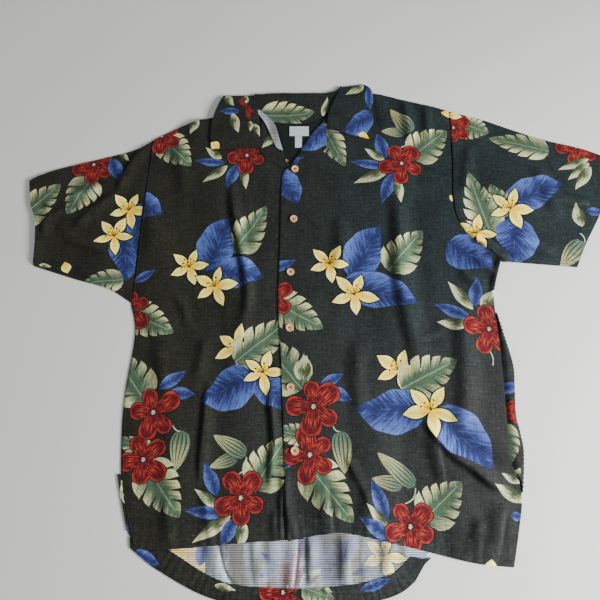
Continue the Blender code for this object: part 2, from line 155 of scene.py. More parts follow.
class Paint:
    """A new material, and the nodes that are added to it."""

    def __init__(self, name):
        self.material = bpy.data.materials.new(name)
        self.material.use_nodes = True
        self.tree = self.material.node_tree
        self.shader = self.tree.nodes["Principled BSDF"]

    def node(self, kind, settings=None, *values, out=0, **named):
        made = self.tree.nodes.new(kind)
        for key, setting in (settings or {}).items():
            setattr(made, key, setting)
        for place, value in (*enumerate(values), *named.items()):
            self.feed(made.inputs[place], value)
        return Value(self, made.outputs[out])

    def feed(self, socket, value):
        if isinstance(value, Value):
            self.tree.links.new(value.socket, socket)
        elif value is not None:
            socket.default_value = value

    def finish(self, **sockets):
        """Feeds the shader's sockets, named with _ for a space."""
        for key, value in sockets.items():
            self.feed(self.shader.inputs[key.replace("_", " ")], value)
        return self.material

    def blend(self, factor, first, second):
        """A colour between two colours."""
        made = self.tree.nodes.new("ShaderNodeMix")
        made.data_type = "RGBA"
        for place, value in ((0, factor), (6, first), (7, second)):
            if isinstance(value, tuple):
                value = (*value, 1.0)
            self.feed(made.inputs[place], value)
        return Value(self, made.outputs[2])

    def ramp(self, value, low, high):
        """0 below low, 1 above high and a soft S between."""
        smooth = {"interpolation_type": "SMOOTHSTEP"}
        return self.node("ShaderNodeMapRange", smooth, value, low, high, 0.0, 1.0)

    def noise(self, vector, stretch=None, detail=2.0, roughness=0.5):
        """Noise on a vector that is first stretched: the larger the stretch, the finer the pattern."""
        if stretch:
            vector = self.node("ShaderNodeVectorMath", {"operation": "MULTIPLY"}, vector, stretch)
        return self.node("ShaderNodeTexNoise", None, Vector=vector, Scale=1.0, Detail=detail,
                         Roughness=roughness)

    def cloth_map(self, name):
        """One of the maps that every sheet of cloth carries."""
        return self.node("ShaderNodeUVMap", {"uv_map": name})

    def own_place(self):
        """A point's place in its own piece, in metres."""
        return self.node("ShaderNodeTexCoord", None, out=3)

    def x_and_y(self, vector):
        x = self.node("ShaderNodeSeparateXYZ", None, vector)
        return x, Value(self, x.socket.node.outputs[1])

    def scaled(self, colour, factor):
        return self.node("ShaderNodeVectorMath", {"operation": "SCALE"}, colour, Scale=factor)

    def bump(self, height, distance, strength=1.0):
        return self.node("ShaderNodeBump", None, Strength=strength, Distance=distance, Height=height)


def linear(red, green, blue):
    """A colour as seen on a screen, 0 to 255, in the even scale that light adds up in."""
    parts = [c / 255 for c in (red, green, blue)]
    return tuple(c / 12.92 if c <= 0.04045 else ((c + 0.055) / 1.055) ** 2.4 for c in parts)


print("paint helpers ready")

# %% [markdown]
# ## The printed cloth
# The cloth is a light, slubby plain weave, so every colour of the print is broken up by the same
# threads. One helper lays those threads over any colour. It reads the map named cloth, which holds each
# point's place on the flat cloth in metres, so that the weave keeps its size on every piece.

# %% Thread over colour
# How strongly the painted fold shade darkens and lightens the colour.
PAINTED_FOLD_SHADE_DEPTH = 0.84
THREAD_RELIEF = 0.16 * MM


def cloth_finish(paint, colour, contrast, flecks=None):
    """Breaks a colour up with thick and thin threads, paints in the light and shade of the folds and of small
    rumples, gives the surface their relief, and makes it matt with a faint bloom."""
    place = paint.cloth_map("cloth")
    threads = paint.noise(place, (130.0, 720.0, 1.0)) + paint.noise(place, (760.0, 150.0, 1.0))
    slubs = paint.noise(place, (36.0, 330.0, 1.0)) + paint.noise(place, (380.0, 30.0, 1.0))
    clouds = paint.noise(place, (16.0, 16.0, 1.0))
    # Painted shade and highlight of small rumples, in the colour only.
    painted_rumple_shade = paint.noise(place, (34.0, 11.0, 1.0), 1.0)
    # The fold map holds painted shade and painted highlights: dark at the feet of folds and in seam grooves,
    # light on the backs of folds and puckers.
    fold, _ = paint.x_and_y(paint.cloth_map("fold"))
    shade = (threads + slubs * 1.2 - 2.2) * contrast * 2.6
    shade = shade + (clouds - 0.5) * 0.6 + (painted_rumple_shade - 0.5) * 0.7 + 1.0
    tinted = paint.scaled(colour, shade * (fold * PAINTED_FOLD_SHADE_DEPTH + 1.0))
    if flecks:
        tinted = paint.blend(paint.ramp(threads, 1.12, 1.50) * 0.28, tinted, flecks)
    return paint.finish(Base_Color=tinted, Roughness=0.78, Normal=paint.bump(threads, THREAD_RELIEF),
                        Sheen_Weight=0.05, Sheen_Roughness=0.45, Specular_IOR_Level=0.18)


# %% [markdown]
# Each printed colour is brushed inside its motif. The map named motif runs from 0 at a leaf's or
# petal's base to 1 at its tip, and from -1 to 1 across it, so a vein or a streak follows its own leaf.

# %% The colours of the print
# The brown and the green tint the off-black as warm and cool light would; the grey is a painted sheen.
GROUND_BROWN = linear(32, 32, 26)
GROUND_GREEN = linear(28, 38, 40)
PAINTED_SHEEN_GREY = linear(38, 40, 40)
FLECK = linear(120, 126, 122)


def motif_maps(paint):
    """Along and across the motif, brush strokes that run out from its midrib, and streaks along it."""
    along, across = paint.x_and_y(paint.cloth_map("motif"))
    slanted = paint.node("ShaderNodeCombineXYZ", None, along * 22.0 - abs(across) * 7.0, across * 1.6, 0.0)
    long_way = paint.node("ShaderNodeCombineXYZ", None, along * 2.5, across * 9.0, 0.0)
    return along, across, paint.noise(slanted, None, 3.0, 0.65), paint.noise(long_way, None, 3.0, 0.6)


def ground_colour(paint):
    """Off-black with painted light: browner to the wearer's right, greener to the left, and a grey sheen at
    the left hem.
    """
    side, height = paint.x_and_y(paint.own_place())
    painted_cool_light = paint.ramp(side, -0.22, 0.30)
    painted_sheen = paint.ramp(height, 0.06, -0.18) * painted_cool_light
    return paint.blend(painted_sheen, paint.blend(painted_cool_light, GROUND_BROWN, GROUND_GREEN), PAINTED_SHEEN_GREY)


def red_colour(paint):
    along, across, strokes, streaks = motif_maps(paint)
    tip = paint.node("ShaderNodeMath", {"operation": "MAXIMUM"}, along - 0.5, 0.0) * 2.0
    rim = paint.ramp(across.power(2.0) + tip.power(2.0) + (strokes - 0.5) * 0.5, 0.62, 0.98)
    petal = paint.blend(rim * 0.65, linear(78, 13, 23), linear(172, 54, 43))
    lit = paint.ramp(streaks, 0.49, 0.62) * paint.ramp(along, 1.00, 0.42)
    petal = paint.blend(lit * 0.8, petal, linear(204, 74, 50))
    return paint.blend(paint.ramp(along, 0.26, 0.05), petal, linear(70, 8, 14))


def cream_colour(paint):
    along, across, _, streaks = motif_maps(paint)
    warm = paint.ramp(abs(across) * 0.65 + along * 0.75 + (streaks - 0.5) * 1.1, 0.95, 0.30)
    petal = paint.blend(warm, linear(255, 247, 140), linear(248, 198, 40))
    return paint.blend(paint.ramp(streaks, 0.64, 0.74) * 0.3, petal, linear(206, 138, 46))


def blue_colour(paint):
    along, across, strokes, streaks = motif_maps(paint)
    light = paint.ramp(abs(across + 0.12) * 0.62 + (strokes - 0.5) * 1.8, 0.00, 0.86)
    leaf = paint.blend(light, linear(32, 40, 88), linear(88, 112, 184))
    leaf = paint.blend(paint.ramp(streaks, 0.58, 0.74) * 0.4, leaf, linear(116, 140, 206))
    rib = paint.ramp(abs(across), 0.07, 0.01) * paint.ramp(along, 0.92, 0.70)
    return paint.blend(rib * 0.4, leaf, linear(30, 32, 70))


def green_colour(paint):
    along, across, _, streaks = motif_maps(paint)
    dark = paint.ramp(abs(along - 0.40) * 1.1 + across * 0.42 + (streaks - 0.5) * 1.9, 0.44, 0.00)
    return paint.blend(dark, linear(188, 194, 150), linear(56, 66, 44))


def monstera_colour(paint):
    along, across, strokes, streaks = motif_maps(paint)
    reach = abs(across) * 1.05 + across * 0.22 + (strokes - 0.5) * 1.2 + abs(along - 0.35) * 0.55
    leaf = paint.blend(paint.ramp(reach, 1.10, 0.30), linear(206, 208, 154), linear(64, 88, 70))
    leaf = paint.blend(paint.ramp(streaks, 0.52, 0.72) * 0.5, leaf, linear(122, 116, 64))
    leaf = paint.blend(paint.ramp(strokes, 0.42, 0.28) * 0.7, leaf, linear(32, 46, 38))
    rib = paint.ramp(abs(across), 0.035, 0.010) * paint.ramp(along, 0.95, 0.80)
    return paint.blend(rib * 0.6, leaf, linear(150, 162, 132))


def bud_colour(paint):
    """Pale green with dark stripes that run together at the tip."""
    along, across, _, streaks = motif_maps(paint)
    girth = (along.power(0.62) * math.pi).sine() + 0.04
    stripes = paint.ramp((across / girth * 15.0).sine() + (streaks - 0.5) * 1.2, 0.15, 0.8)
    body = paint.blend(paint.ramp(along, 0.10, 0.90), linear(84, 106, 88), linear(176, 178, 130))
    return paint.blend(stripes * 0.85, body, linear(26, 38, 30))


COLOURS = (("ground", ground_colour), ("ink", lambda paint: linear(14, 15, 16)), ("red", red_colour),
           ("cream", cream_colour), ("blue", blue_colour), ("green", green_colour),
           ("monstera", monstera_colour), ("bud", bud_colour), ("stem", lambda paint: linear(176, 188, 168)))
KINDS = [name for name, _ in COLOURS]
SHOW_THROUGH = 0.46
ROW_PITCH = 0.0030
WRONG_GROUND = (0.17, 0.185, 0.19)


def wrong_side(paint, colour):
    """The print as it shows through on the inside: washed out, under fine dark rows of weft, with broad
    vertical bands of painted light and shade.
    """
    place = paint.cloth_map("cloth")
    _, up = paint.x_and_y(place)
    rows = (up * (2 * math.pi / ROW_PITCH)).sine()
    # Long vertical bands of painted light and shade, as soft folds on the tail would show.
    painted_fold_bands = paint.noise(place, (34.0, 7.0, 1.0))
    pale = paint.blend(paint.ramp(painted_fold_bands, 0.42, 0.60), linear(220, 232, 250), linear(122, 118, 108))
    washes = paint.noise(place, (16.0, 11.0, 1.0), 1.0)
    pale = paint.blend(paint.ramp(washes, 0.50, 0.62) * 0.6, pale, linear(128, 148, 204))
    washed = paint.blend(SHOW_THROUGH, pale, paint.scaled(colour, 1.9))
    return paint.blend(paint.ramp(rows, 0.0, 0.9) * 0.85, washed, linear(44, 46, 46))


printed = []
faded = []
for name, brushed in COLOURS:
    face = Paint(f"print_{name}")
    dark = name in ("ground", "ink")
    printed.append(cloth_finish(face, brushed(face), 0.44 if dark else 0.20, FLECK if dark else None))
    wrong = Paint(f"inside_{name}")
    shown = wrong_side(wrong, WRONG_GROUND if name == "ground" else brushed(wrong))
    faded.append(cloth_finish(wrong, shown, 0.22))
print("print colours", KINDS)

# %% [markdown]
# ## Drawing the motifs
# A motif is a flat outline in its own frame: it starts at (0, 0), its tip is at (1, 0), and it reaches
# from -1 to 1 across. A table later says where each one is printed and how long and wide it is.

# %% Outlines of leaves and petals
def mirrored(upper):
    """A closed outline from its upper side, drawn from base to tip."""
    return upper + [(x, -y) for x, y in reversed(upper[1:-1])]


def leaf_outline(fullness, steps=15):
    upper = []
    for k in range(steps + 1):
        t = k / steps
        upper.append((t, math.sin(math.pi * t ** 0.82) ** fullness * (1 - max(0.0, t - 0.6) * 0.8)))
    return mirrored(upper)


def broad_leaf_outline(steps=18):
    """A broad leaf, round at its base and drawn out to a sharp tip, with one side fuller than the other."""
    sides = []
    for side, fuller in ((1, 1.08), (-1, 0.92)):
        for k in range(steps + 1):
            t = k / steps
            width = 2.87 * t ** 0.62 * (1 - t) ** 0.95 * (1 + 0.04 * math.sin(17.0 * t + side))
            sides.append((t, side * fuller * width - 0.10 * math.sin(2 * math.pi * t)))
    upper, lower = sides[:steps + 1], sides[steps + 1:]
    return upper + lower[-2:0:-1]


def petal_outline(base, widest, blunt, steps=10):
    """A petal that is narrow at its base: a blunt one is round at its end, or else it is pointed."""
    upper = [(0.0, 0.0), (0.02, base)]
    for k in range(1, steps + 1):
        t = k / steps
        if t < widest:
            width = base + (1 - base) * math.sin(math.pi / 2 * t / widest)
        elif blunt:
            width = math.sqrt(max(0.0, 1 - ((t - widest) / (1.001 - widest)) ** 2)) ** 0.75
        else:
            width = math.cos(math.pi / 2 * (t - widest) / (1 - widest)) ** 1.1
        upper.append((t, width if k < steps else 0.0))
    return mirrored(upper)


def split_leaf_side(slits):
    """One side of a split leaf from base to tip: thin slits slant in towards the midrib, and the lobes
    between them end in points."""
    side = [(0.0, 0.0)]
    for number, (start, end) in enumerate(zip((-0.03,) + slits, slits + (1.0,))):
        for k in range(6):
            t = start + 0.036 + (end - start - 0.036) * k / 5
            width = math.sin(math.pi * min(max(t, 0.004), 0.999) ** 0.56) ** 0.80
            bulge = 0.86 + 0.16 * math.sin(math.pi / 2 * (k + 0.4) / 5) if number else 1.0
            if t < 1.0:
                side.append((t, width * bulge))
        if number < len(slits):
            width = math.sin(math.pi * end ** 0.56) ** 0.80
            side += [(end + 0.014, 1.06 * width), (end - 0.040, 0.64 * width), (end - 0.095, 0.28 * width)]
            side.append((end - 0.016, 0.60 * width))
    return side


def split_leaf_outline():
    left = split_leaf_side((0.30, 0.48, 0.64, 0.79))
    right = split_leaf_side((0.38, 0.57, 0.74))
    return left + [(1.0, 0.0)] + [(x, -y) for x, y in reversed(right[1:])]


def stem_outline(bow, thickness, steps=8):
    """A thin stem that bows to one side by its width."""
    points = [(k / steps, bow * math.sin(math.pi * k / steps)) for k in range(steps + 1)]
    return [(x, y + thickness) for x, y in points] + [(x, y - thickness) for x, y in reversed(points)]


OUTLINES = {
    "blue": broad_leaf_outline(), "blue_slim": leaf_outline(0.95), "green": leaf_outline(0.95),
    "red_petal": leaf_outline(0.95),
    "bare": leaf_outline(0.80),
    "bud": mirrored([(k / 16, math.sin(math.pi * (k / 16) ** 0.62) ** 0.72) for k in range(17)]),
    "monstera": split_leaf_outline(), "red": petal_outline(0.12, 0.68, True),
    "cream": petal_outline(0.07, 0.52, False), "cream_petal": petal_outline(0.07, 0.52, False),
    "speck": [(math.cos(a) / 2 + 0.5, math.sin(a)) for a in (k * math.pi / 3 for k in range(6))],
}
COLOUR_OF = {"blue_slim": "blue", "speck": "ink", "red_petal": "red", "cream_petal": "cream",
             "bare": "ground"}


# %% A motif on the cloth
class Shape:
    """One closed outline on the flat cloth, and the frame that its brush strokes follow."""

    def __init__(self, kind, x, y, degrees, length, width, outline=None, swell=0.0, colour=None):
        self.kind = colour or COLOUR_OF.get(kind, kind)
        self.base = np.array((x, y))
        angle = math.radians(degrees)
        self.along = np.array((math.cos(angle), math.sin(angle)))
        self.across = np.array((-math.sin(angle), math.cos(angle)))
        self.length = length
        self.half = abs(width) / 2
        local = np.array(outline or OUTLINES[kind])
        local = (local - (0.5, 0.0)) * (1 + 2 * swell / length, 1 + swell / self.half) + (0.5, 0.0)
        if ring_area(local) < 0:
            local = local[::-1]
        self.points = (self.base + np.outer(local[:, 0] * length, self.along)
                       + np.outer(local[:, 1] * self.half, self.across))

    def frame(self, points):
        """Along and across this motif, at the given places on the cloth."""
        away = points - self.base
        return np.stack((away @ self.along / self.length, away @ self.across / self.half), axis=1)


def flower(kind, x, y, turn, radius):
    """Five petals, each on a dark outline, with a small heart and stamens."""
    angles, widths, rim = {"red": ((102, 34, -42, 257, 180), 0.66, 1.3 * MM),
                           "cream": ((136, 65, -10, -80, 200), 0.44, 2.4 * MM)}[kind]
    petals = []
    for angle in angles:
        angle = angle + turn + dice.uniform(-7, 7)
        length = radius * dice.uniform(0.88, 1.12)
        petals.append((kind, x, y, angle, length, length * widths * dice.uniform(0.9, 1.1)))
    shapes = [Shape(*petal, swell=rim, colour="ink") for petal in petals]
    shapes += [Shape(*petal) for petal in petals]
    if kind == "red":
        heart = 0.088 * radius
        shapes.append(Shape("speck", x - heart, y, 0, 2 * heart, 2 * heart, colour="stem"))
        for k in range(5):
            angle = math.radians(72 * k + turn)
            reach = 0.6 * heart * (k % 2 + 0.5)
            shapes.append(Shape("speck", x + reach * math.cos(angle), y + reach * math.sin(angle),
                                72 * k + 40, 0.0036, 0.0016))
    else:
        shapes.append(Shape("speck", x - 0.05 * radius, y, 0, 0.10 * radius, 0.10 * radius))
        for k in range(5):
            angle = turn + 100 + 34 * (k - 2) + dice.uniform(-8, 8)
            shapes.append(Shape("speck", x, y, angle, radius * (0.26 + 0.05 * (k % 3)), 0.0017))
            reach = radius * (0.30 + 0.05 * (k % 3))
            tip = (x + reach * math.cos(math.radians(angle)), y + reach * math.sin(math.radians(angle)))
            shapes.append(Shape("speck", *tip, angle + 60, 0.0046, 0.0028))
    return shapes


STEM_HALF = 0.9 * MM


def draw_print(rows):
    """All the shapes of a print table, in the order in which they are printed."""
    shapes = []
    for kind, x, y, turn, length, width in rows:
        if kind in ("red", "cream"):
            shapes += flower(kind, x, y, turn, length)
        elif kind == "stem":
            outline = stem_outline(math.copysign(0.9, width), STEM_HALF / abs(width) * 2)
            shapes.append(Shape(kind, x, y, turn, length, width, outline))
        else:
            shapes.append(Shape(kind, x, y, turn, length, width))
    return shapes


print("outlines", {name: len(points) for name, points in OUTLINES.items()})

# %% [markdown]
# ## From frame to flat cloth
# Each CAD cloth piece is a coarse wall. Its upper face gives two things: the outline that the sheet is
# cut to, and the height at which it lies. The outline is drawn through again with a smooth curve between
# its true corners, and the heights are blurred a little, so no facet of the coarse wall shows.

# %% Smooth lines and distances
def smooth_step(value, low, high):
    t = np.clip((np.asarray(value, float) - low) / (high - low), 0.0, 1.0)
    return t * t * (3 - 2 * t)


def steps_of(line):
    """The distance from each point of a line to the next."""
    return np.linalg.norm(np.diff(line, axis=0), axis=-1)


def curve_point(a, b, c, d, t):
    """Part t of the way from b to c, on the smooth curve through all four."""
    return 0.5 * (2 * b + (c - a) * t + (2 * a - 5 * b + 4 * c - d) * t ** 2
                  + (3 * b - a - 3 * c + d) * t ** 3)


def carried_on(p):
    """Points with one more at each end, in line with the last two."""
    return np.vstack((2 * p[0] - p[1], p, 2 * p[-1] - p[-2]))


def through(points, step):
    """Points about a step apart on a smooth curve through the given ones."""
    p = np.asarray(points, float)
    if len(p) == 2:
        count = max(1, round(float(np.linalg.norm(p[1] - p[0])) / step))
        return p[0] + np.linspace(0, 1, count + 1)[:, None] * (p[1] - p[0])
    p = carried_on(p)
    t = np.linspace(0, 1, 16, endpoint=False)[:, None]
    fine = [curve_point(*four, t) for four in zip(p, p[1:], p[2:], p[3:])]
    fine = np.vstack(fine + [p[-2:-1]])
    lengths = np.concatenate(([0.0], np.cumsum(steps_of(fine))))
    wanted = np.linspace(0, lengths[-1], max(1, round(lengths[-1] / step)) + 1)
    return np.stack([np.interp(wanted, lengths, fine[:, k]) for k in range(fine.shape[1])], axis=1)


def beside(places, line):
    """For each place: its distance from a line, the side it is on, and how far along it is."""
    runs = np.diff(line, axis=0)
    sizes = np.linalg.norm(runs, axis=1)
    starts = np.concatenate(([0.0], np.cumsum(sizes)))[:-1]
    away = places[:, None, :] - line[None, :-1, :]
    part = np.clip((away * runs).sum(2) / sizes ** 2, 0, 1)
    gaps = np.linalg.norm(away - part[..., None] * runs, axis=2)
    best = gaps.argmin(1)
    every = np.arange(len(places))
    turn = runs[best, 0] * away[every, best, 1] - runs[best, 1] * away[every, best, 0]
    return gaps[every, best], np.sign(turn), starts[best] + part[every, best] * sizes[best]


def distance_to(places, line):
    return beside(places, line)[0]


def ringed(ring):
    """A ring whose last point is its first one again."""
    return np.vstack((ring, ring[:1]))


# %% Outline and heights of a CAD face
def outer_ring(edges, plan, side=1):
    """The largest ring that directed edges make, as point numbers. Where a hole touches the outline, it
    keeps to the outline."""
    ahead = {}
    for start, end in sorted(edges):
        ahead.setdefault(start, []).append(end)
    rings = []
    while ahead:
        ring = [min((v for v in ahead if len(ahead[v]) == 1), default=min(ahead))]
        while ring[-1] in ahead:
            here = plan[ring[-1]]
            came = here - plan[ring[-2] if len(ring) > 1 else ring[-1]]
            turns = [side * math.atan2(came[0] * go[1] - came[1] * go[0], came @ go)
                     for go in (plan[end] - here for end in ahead[ring[-1]])]
            choices = ahead[ring[-1]]
            if len(choices) == 1:
                del ahead[ring[-1]]
            ring.append(choices.pop(turns.index(min(turns))))
        rings.append(ring[:-1])
    return max(rings, key=lambda ring: abs(ring_area(plan[ring])))


def ring_area(ring):
    x, y = ring[:, 0], ring[:, 1]
    return float(0.5 * (x * np.roll(y, -1) - y * np.roll(x, -1)).sum())


def read_face(node, side=1, lowest=-1.0):
    """The points of one face of a node, and its outline as a ring."""
    merged = bmesh.new()
    merged.from_mesh(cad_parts[node].data)
    bmesh.ops.remove_doubles(merged, verts=merged.verts, dist=0.01 * MM)
    merged.normal_update()
    faces = {f for f in merged.faces if f.normal.z * side > 0.5 and f.calc_center_median().z > lowest}
    points = np.array([tuple(v.co) for v in {v: 0 for f in faces for v in f.verts}])
    edges = [(loop.vert.index, loop.link_loop_next.vert.index) for face in faces for loop in face.loops
             if sum(other in faces for other in loop.edge.link_faces) == 1]
    plan = np.array([tuple(v.co)[:2] for v in merged.verts])
    merged.free()
    ring = plan[outer_ring(edges, plan, side)]
    return points[np.lexsort(points.T)], ring if side > 0 else ring[::-1]


def spans_of(ring, sharpest, step):
    """A ring cut at its true corners, each span drawn through smoothly."""
    ahead = np.roll(ring, -1, axis=0) - ring
    behind = ring - np.roll(ring, 1, axis=0)
    turns = np.degrees(np.arctan2(behind[:, 0] * ahead[:, 1] - behind[:, 1] * ahead[:, 0],
                                  (behind * ahead).sum(1)))
    corners = list(np.nonzero(np.abs(turns) > sharpest)[0])
    spans = []
    for a, b in zip(corners, corners[1:] + [corners[0] + len(ring)]):
        spans.append(through(ring[np.arange(a, b + 1) % len(ring)], step))
    return spans


def trace(node, reach=0.016, sharpest=33.0, step=0.005, **face):
    """The smooth spans of a node's outline, its height over the plan, and its unsmoothed outline."""
    points, ring = read_face(node, **face)
    return spans_of(ring, sharpest, step), blurred(points, reach), ring


def nearest_span(spans, x, y):
    return min(spans, key=lambda span: distance_to(np.array([[x, y]]), span)[0])


def closed(spans):
    return np.vstack([span[:-1] for span in spans])


def inside(places, ring):
    """Which places lie inside a closed ring."""
    x, y = places[:, 0][:, None], places[:, 1][:, None]
    a, b = ring, np.roll(ring, -1, axis=0)
    crosses = (a[:, 1] > y) != (b[:, 1] > y)
    rise = np.where(b[:, 1] == a[:, 1], 1e-12, b[:, 1] - a[:, 1])
    at = a[:, 0] + (y - a[:, 1]) * (b[:, 0] - a[:, 0]) / rise
    return (crosses & (x < at)).sum(1) % 2 == 1


def blurred(points, reach):
    """A smooth height over the plan, from the scattered points of a face."""
    def height(places):
        gaps = ((places[:, None, :] - points[None, :, :2]) ** 2).sum(2)
        gaps -= gaps.min(1)[:, None]
        weight = np.exp(-gaps / (2 * reach ** 2))
        return (weight * points[:, 2]).sum(1) / weight.sum(1)
    return height


# %% [markdown]
# ## Creases
# The folds were laid one by one: a height, the widths of its two sides, and the line it runs
# along. The narrower side is the steep one. On top of them the whole cloth swells and sinks a little,
# mostly in long waves down the body, as cloth does that was pressed and then worn.

# %% The crease table
# Height, width to the left of the run, width to the right, then the line as x, y, x, y, all in mm.
CREASES = (
    (8, 6, 5, (375, 62, 352, 85, 325, 108)), (6.5, 6, 5, (372, 64, 330, 86, 296, 97)),
    (6, 6, 5, (356, 85, 340, 40, 326, -10)), (6.5, 14, 6, (-246, 300, -278, 264, -300, 215, -305, 185)),
    (4, 10, 6, (-385, 168, -417, 146, -424, 105)), (4.5, 12, 7, (-300, 200, -342, 161, -380, 118)),
    (9, 10, 7, (-107, 236, -104, 200, -98.5, 161, -92, 131, -86, 97, -77.5, 60, -71.5, 21, -72, -14,
        -80, -45, -88, -75)),
    (5.5, 14, 4, (-131, -130, -133.5, -165, -134, -196, -136, -227, -137, -256, -137, -300)),
    (7, 7, 4.5, (-35, -130, -32, -171, -28, -202, -26, -239, -29, -265, -32, -310)),
    (3.5, 3, 3, (-16, -290, -15, -331, -14.5, -378)), (4, 10, 4, (-14, -262, -8, -314, 3, -372)),
    (2.5, 6, 4, (-26, -325, -21, -378)), (6, 5, 14, (48, -285, 56, -330, 62, -378)),
    (9, 20, 11, (173, 232, 182, 192, 186, 157, 187, 123, 184.5, 90, 185, 53, 190, 0, 195, -35, 201,
        -68, 206, -101, 214, -145)),
    (3.5, 10, 4, (80, -235, 92, -268, 104, -291, 117, -320, 124, -350)),
    (12, 22, 4.5, (199, -186, 221, -222, 247, -250, 275, -270, 300, -292, 325, -304)),
    (6, 4.5, 10, (216, -205, 221, -236, 225, -262, 230, -300)),
    (8, 6, 14, (316, -315, 304.5, -353, 298, -378, 289, -410)), (4, 9, 6, (276, -335, 262, -398)),
    (5, 10, 6, (160, 404, 164, 350, 170, 315)), (5.5, 12, 7, (205, 395, 212, 340, 214, 290)),
    (4.5, 10, 6, (245, 380, 246, 330, 243, 290)),
    (6, 20, 12, (283, 10, 280, -60, 276, -134, 268, -227)),
    (3.5, 10, 6, (192, -68, 222, -66, 246, -52)), (8.5, 10, 6, (300, 118, 326, 98, 350, 76)),
    (5, 8, 6, (300, 85, 322, 62, 344, 38)), (4.5, 10, 7, (276, 60, 300, 34, 330, 10)),
    (4, 16, 10, (-246, 200, -238, 140, -236, 71)), (3, 12, 8, (-138, -60, -142, -90, -150, -140)),
    (4, 16, 10, (-206, 300, -196, 250, -184, 190)), (3.5, 12, 10, (-220, -70, -206, -110, -192, -165)),
    (3.5, 10, 6, (-200, 20, -180, -10, -168, -50)), (4, 10, 7, (-130, -290, -122, -335, -117, -382)),
    (3.5, 10, 7, (-186, -300, -180, -340, -176, -384)), (4, 16, 10, (80, 160, 84, 100, 78, 40)),
    (4, 14, 10, (110, -60, 104, -130, 112, -200)), (3.5, 10, 7, (118, -290, 112, -330, 110, -368)),
    (5, 8, 5, (452, 186, 485, 176, 524, 174)), (4.5, 14, 10, (430, 262, 448, 205, 462, 140)),
    (4, 14, 8, (322, 300, 310, 245, 300, 184)), (3.5, 10, 8, (370, 110, 410, 100, 450, 80)),
    (3.5, 12, 8, (-405, 130, -360, 105, -305, 88)), (3, 10, 7, (-420, 190, -424, 150, -418, 105)),
    (3.5, 12, 8, (-326, 212, -360, 196, -396, 186)),
)
MOST_LIFT = 0.0105
FOLD_STEP = 0.012
SHADED_HEIGHT = 0.0065
DARKEST, LIGHTEST = -1.0, 0.6


def fold_lines(table):
    """A fold table in metres, with each line drawn through smoothly."""
    return [(height / 1000, left / 1000, right / 1000,
             through(np.array(line).reshape(-1, 2) / 1000, FOLD_STEP)) for height, left, right, line in table]


CREASE_LINES = fold_lines(CREASES)
WAVES = [(dice.uniform(20, 62), dice.uniform(-16, 16), dice.uniform(0, 6.28), dice.uniform(0.25, 0.6))
         for _ in range(14)]


def near_folds(places, lines):
    """For each fold: its height where it has not faded out, and the distance in widths of that side."""
    for height, left, right, line in lines:
        distance, side, along = beside(places, line)
        whole = steps_of(line).sum()
        fade = smooth_step(np.minimum(along, whole - along), 0.0, 0.28 * whole)
        width = np.where(side > 0, left, right)
        yield height * fade, distance / width, width < max(left, right)


def fold_rise(places, lines):
    return sum(1.35 * height * np.exp(-away ** 2) for height, away, _ in near_folds(places, lines))


def fold_shade(places, lines):
    """Light on the back of each fold and dark at its foot, darker on the steep side."""
    shade = np.zeros(len(places))
    for height, away, steep in near_folds(places, lines):
        foot = np.exp(-((away - 1.5) / 0.75) ** 2) * np.where(steep, 1.0, 0.35)
        shade += height / SHADED_HEIGHT * (0.60 * np.exp(-(away / 1.05) ** 2) - 0.95 * foot)
    return shade


def seam_shade(places, lines, strength=0.28):
    """Dark in the groove of each seam, and a little dark beside it."""
    shade = np.zeros(len(places))
    for line in lines:
        distance = distance_to(places, line)
        narrow, wide = (np.exp(-(distance / (reach * MM)) ** 2) for reach in (1.5, 6))
        shade -= strength * (narrow + 0.4 * wide)
    return shade


def limited(shade):
    return np.clip(shade, DARKEST, LIGHTEST)


def crease_rise(places):
    """How far creases and long waves lift the cloth above where the frame has it."""
    x, y = places[:, 0], places[:, 1]
    rise = fold_rise(places, CREASE_LINES)
    swell = sum(size * np.sin(kx * x + ky * y + phase) for kx, ky, phase, size in WAVES)
    swell = np.maximum(swell + 0.6, 0.0) * 1.9 * MM * smooth_step(np.abs(x), 0.028, 0.065)
    under_collar = smooth_step(y, 0.205, 0.245) * (1 - smooth_step(np.abs(x - 0.005), 0.150, 0.185))
    lift = (rise + swell) * (1 - under_collar)
    return MOST_LIFT * np.tanh(lift / MOST_LIFT)


def crease_points(ring, lines):
    """Rows of points on both sides of each crease that crosses a ring, so that the mesh can bend there."""
    low, high = ring.min(0) - 0.02, ring.max(0) + 0.02
    rows = []
    for _, left, right, line in lines:
        if (line.max(0) < low).any() or (line.min(0) > high).any():
            continue
        fine = through(line[::2], 0.005)
        for part in (-2.0, -1.4, -0.95, -0.55, -0.2, 0.2, 0.55, 0.95, 1.4, 2.0):
            rows.append(shifted(fine, part * (left if part > 0 else right)))
    return rows


def pucker(places, line, reach, size=0.45 * MM, pitch=0.012):
    """Small waves square to a stitched edge, which the stitching draws up."""
    distance, _, along = beside(places, line)
    wave = np.sin(2 * math.pi * along / pitch + 2.2 * np.sin(along * 37.0)) * np.sin(along * 61.0 + 1.0)
    return size * (wave + 0.3) * (1 - smooth_step(distance, 0.6 * reach, reach))


def groove(places, line, depth=0.35 * MM, width=1.4 * MM):
    return -depth * np.exp(-(distance_to(places, line) / width) ** 2)


def direction(line):
    """The way a line runs at each of its points, one long."""
    way = np.gradient(line, axis=0)
    return way / np.linalg.norm(way, axis=1)[:, None]


def shifted(line, distance):
    """A line moved sideways, to its left."""
    way = direction(line)
    return line + distance * np.stack((-way[:, 1], way[:, 0]), axis=1)


print("creases", len(CREASES))

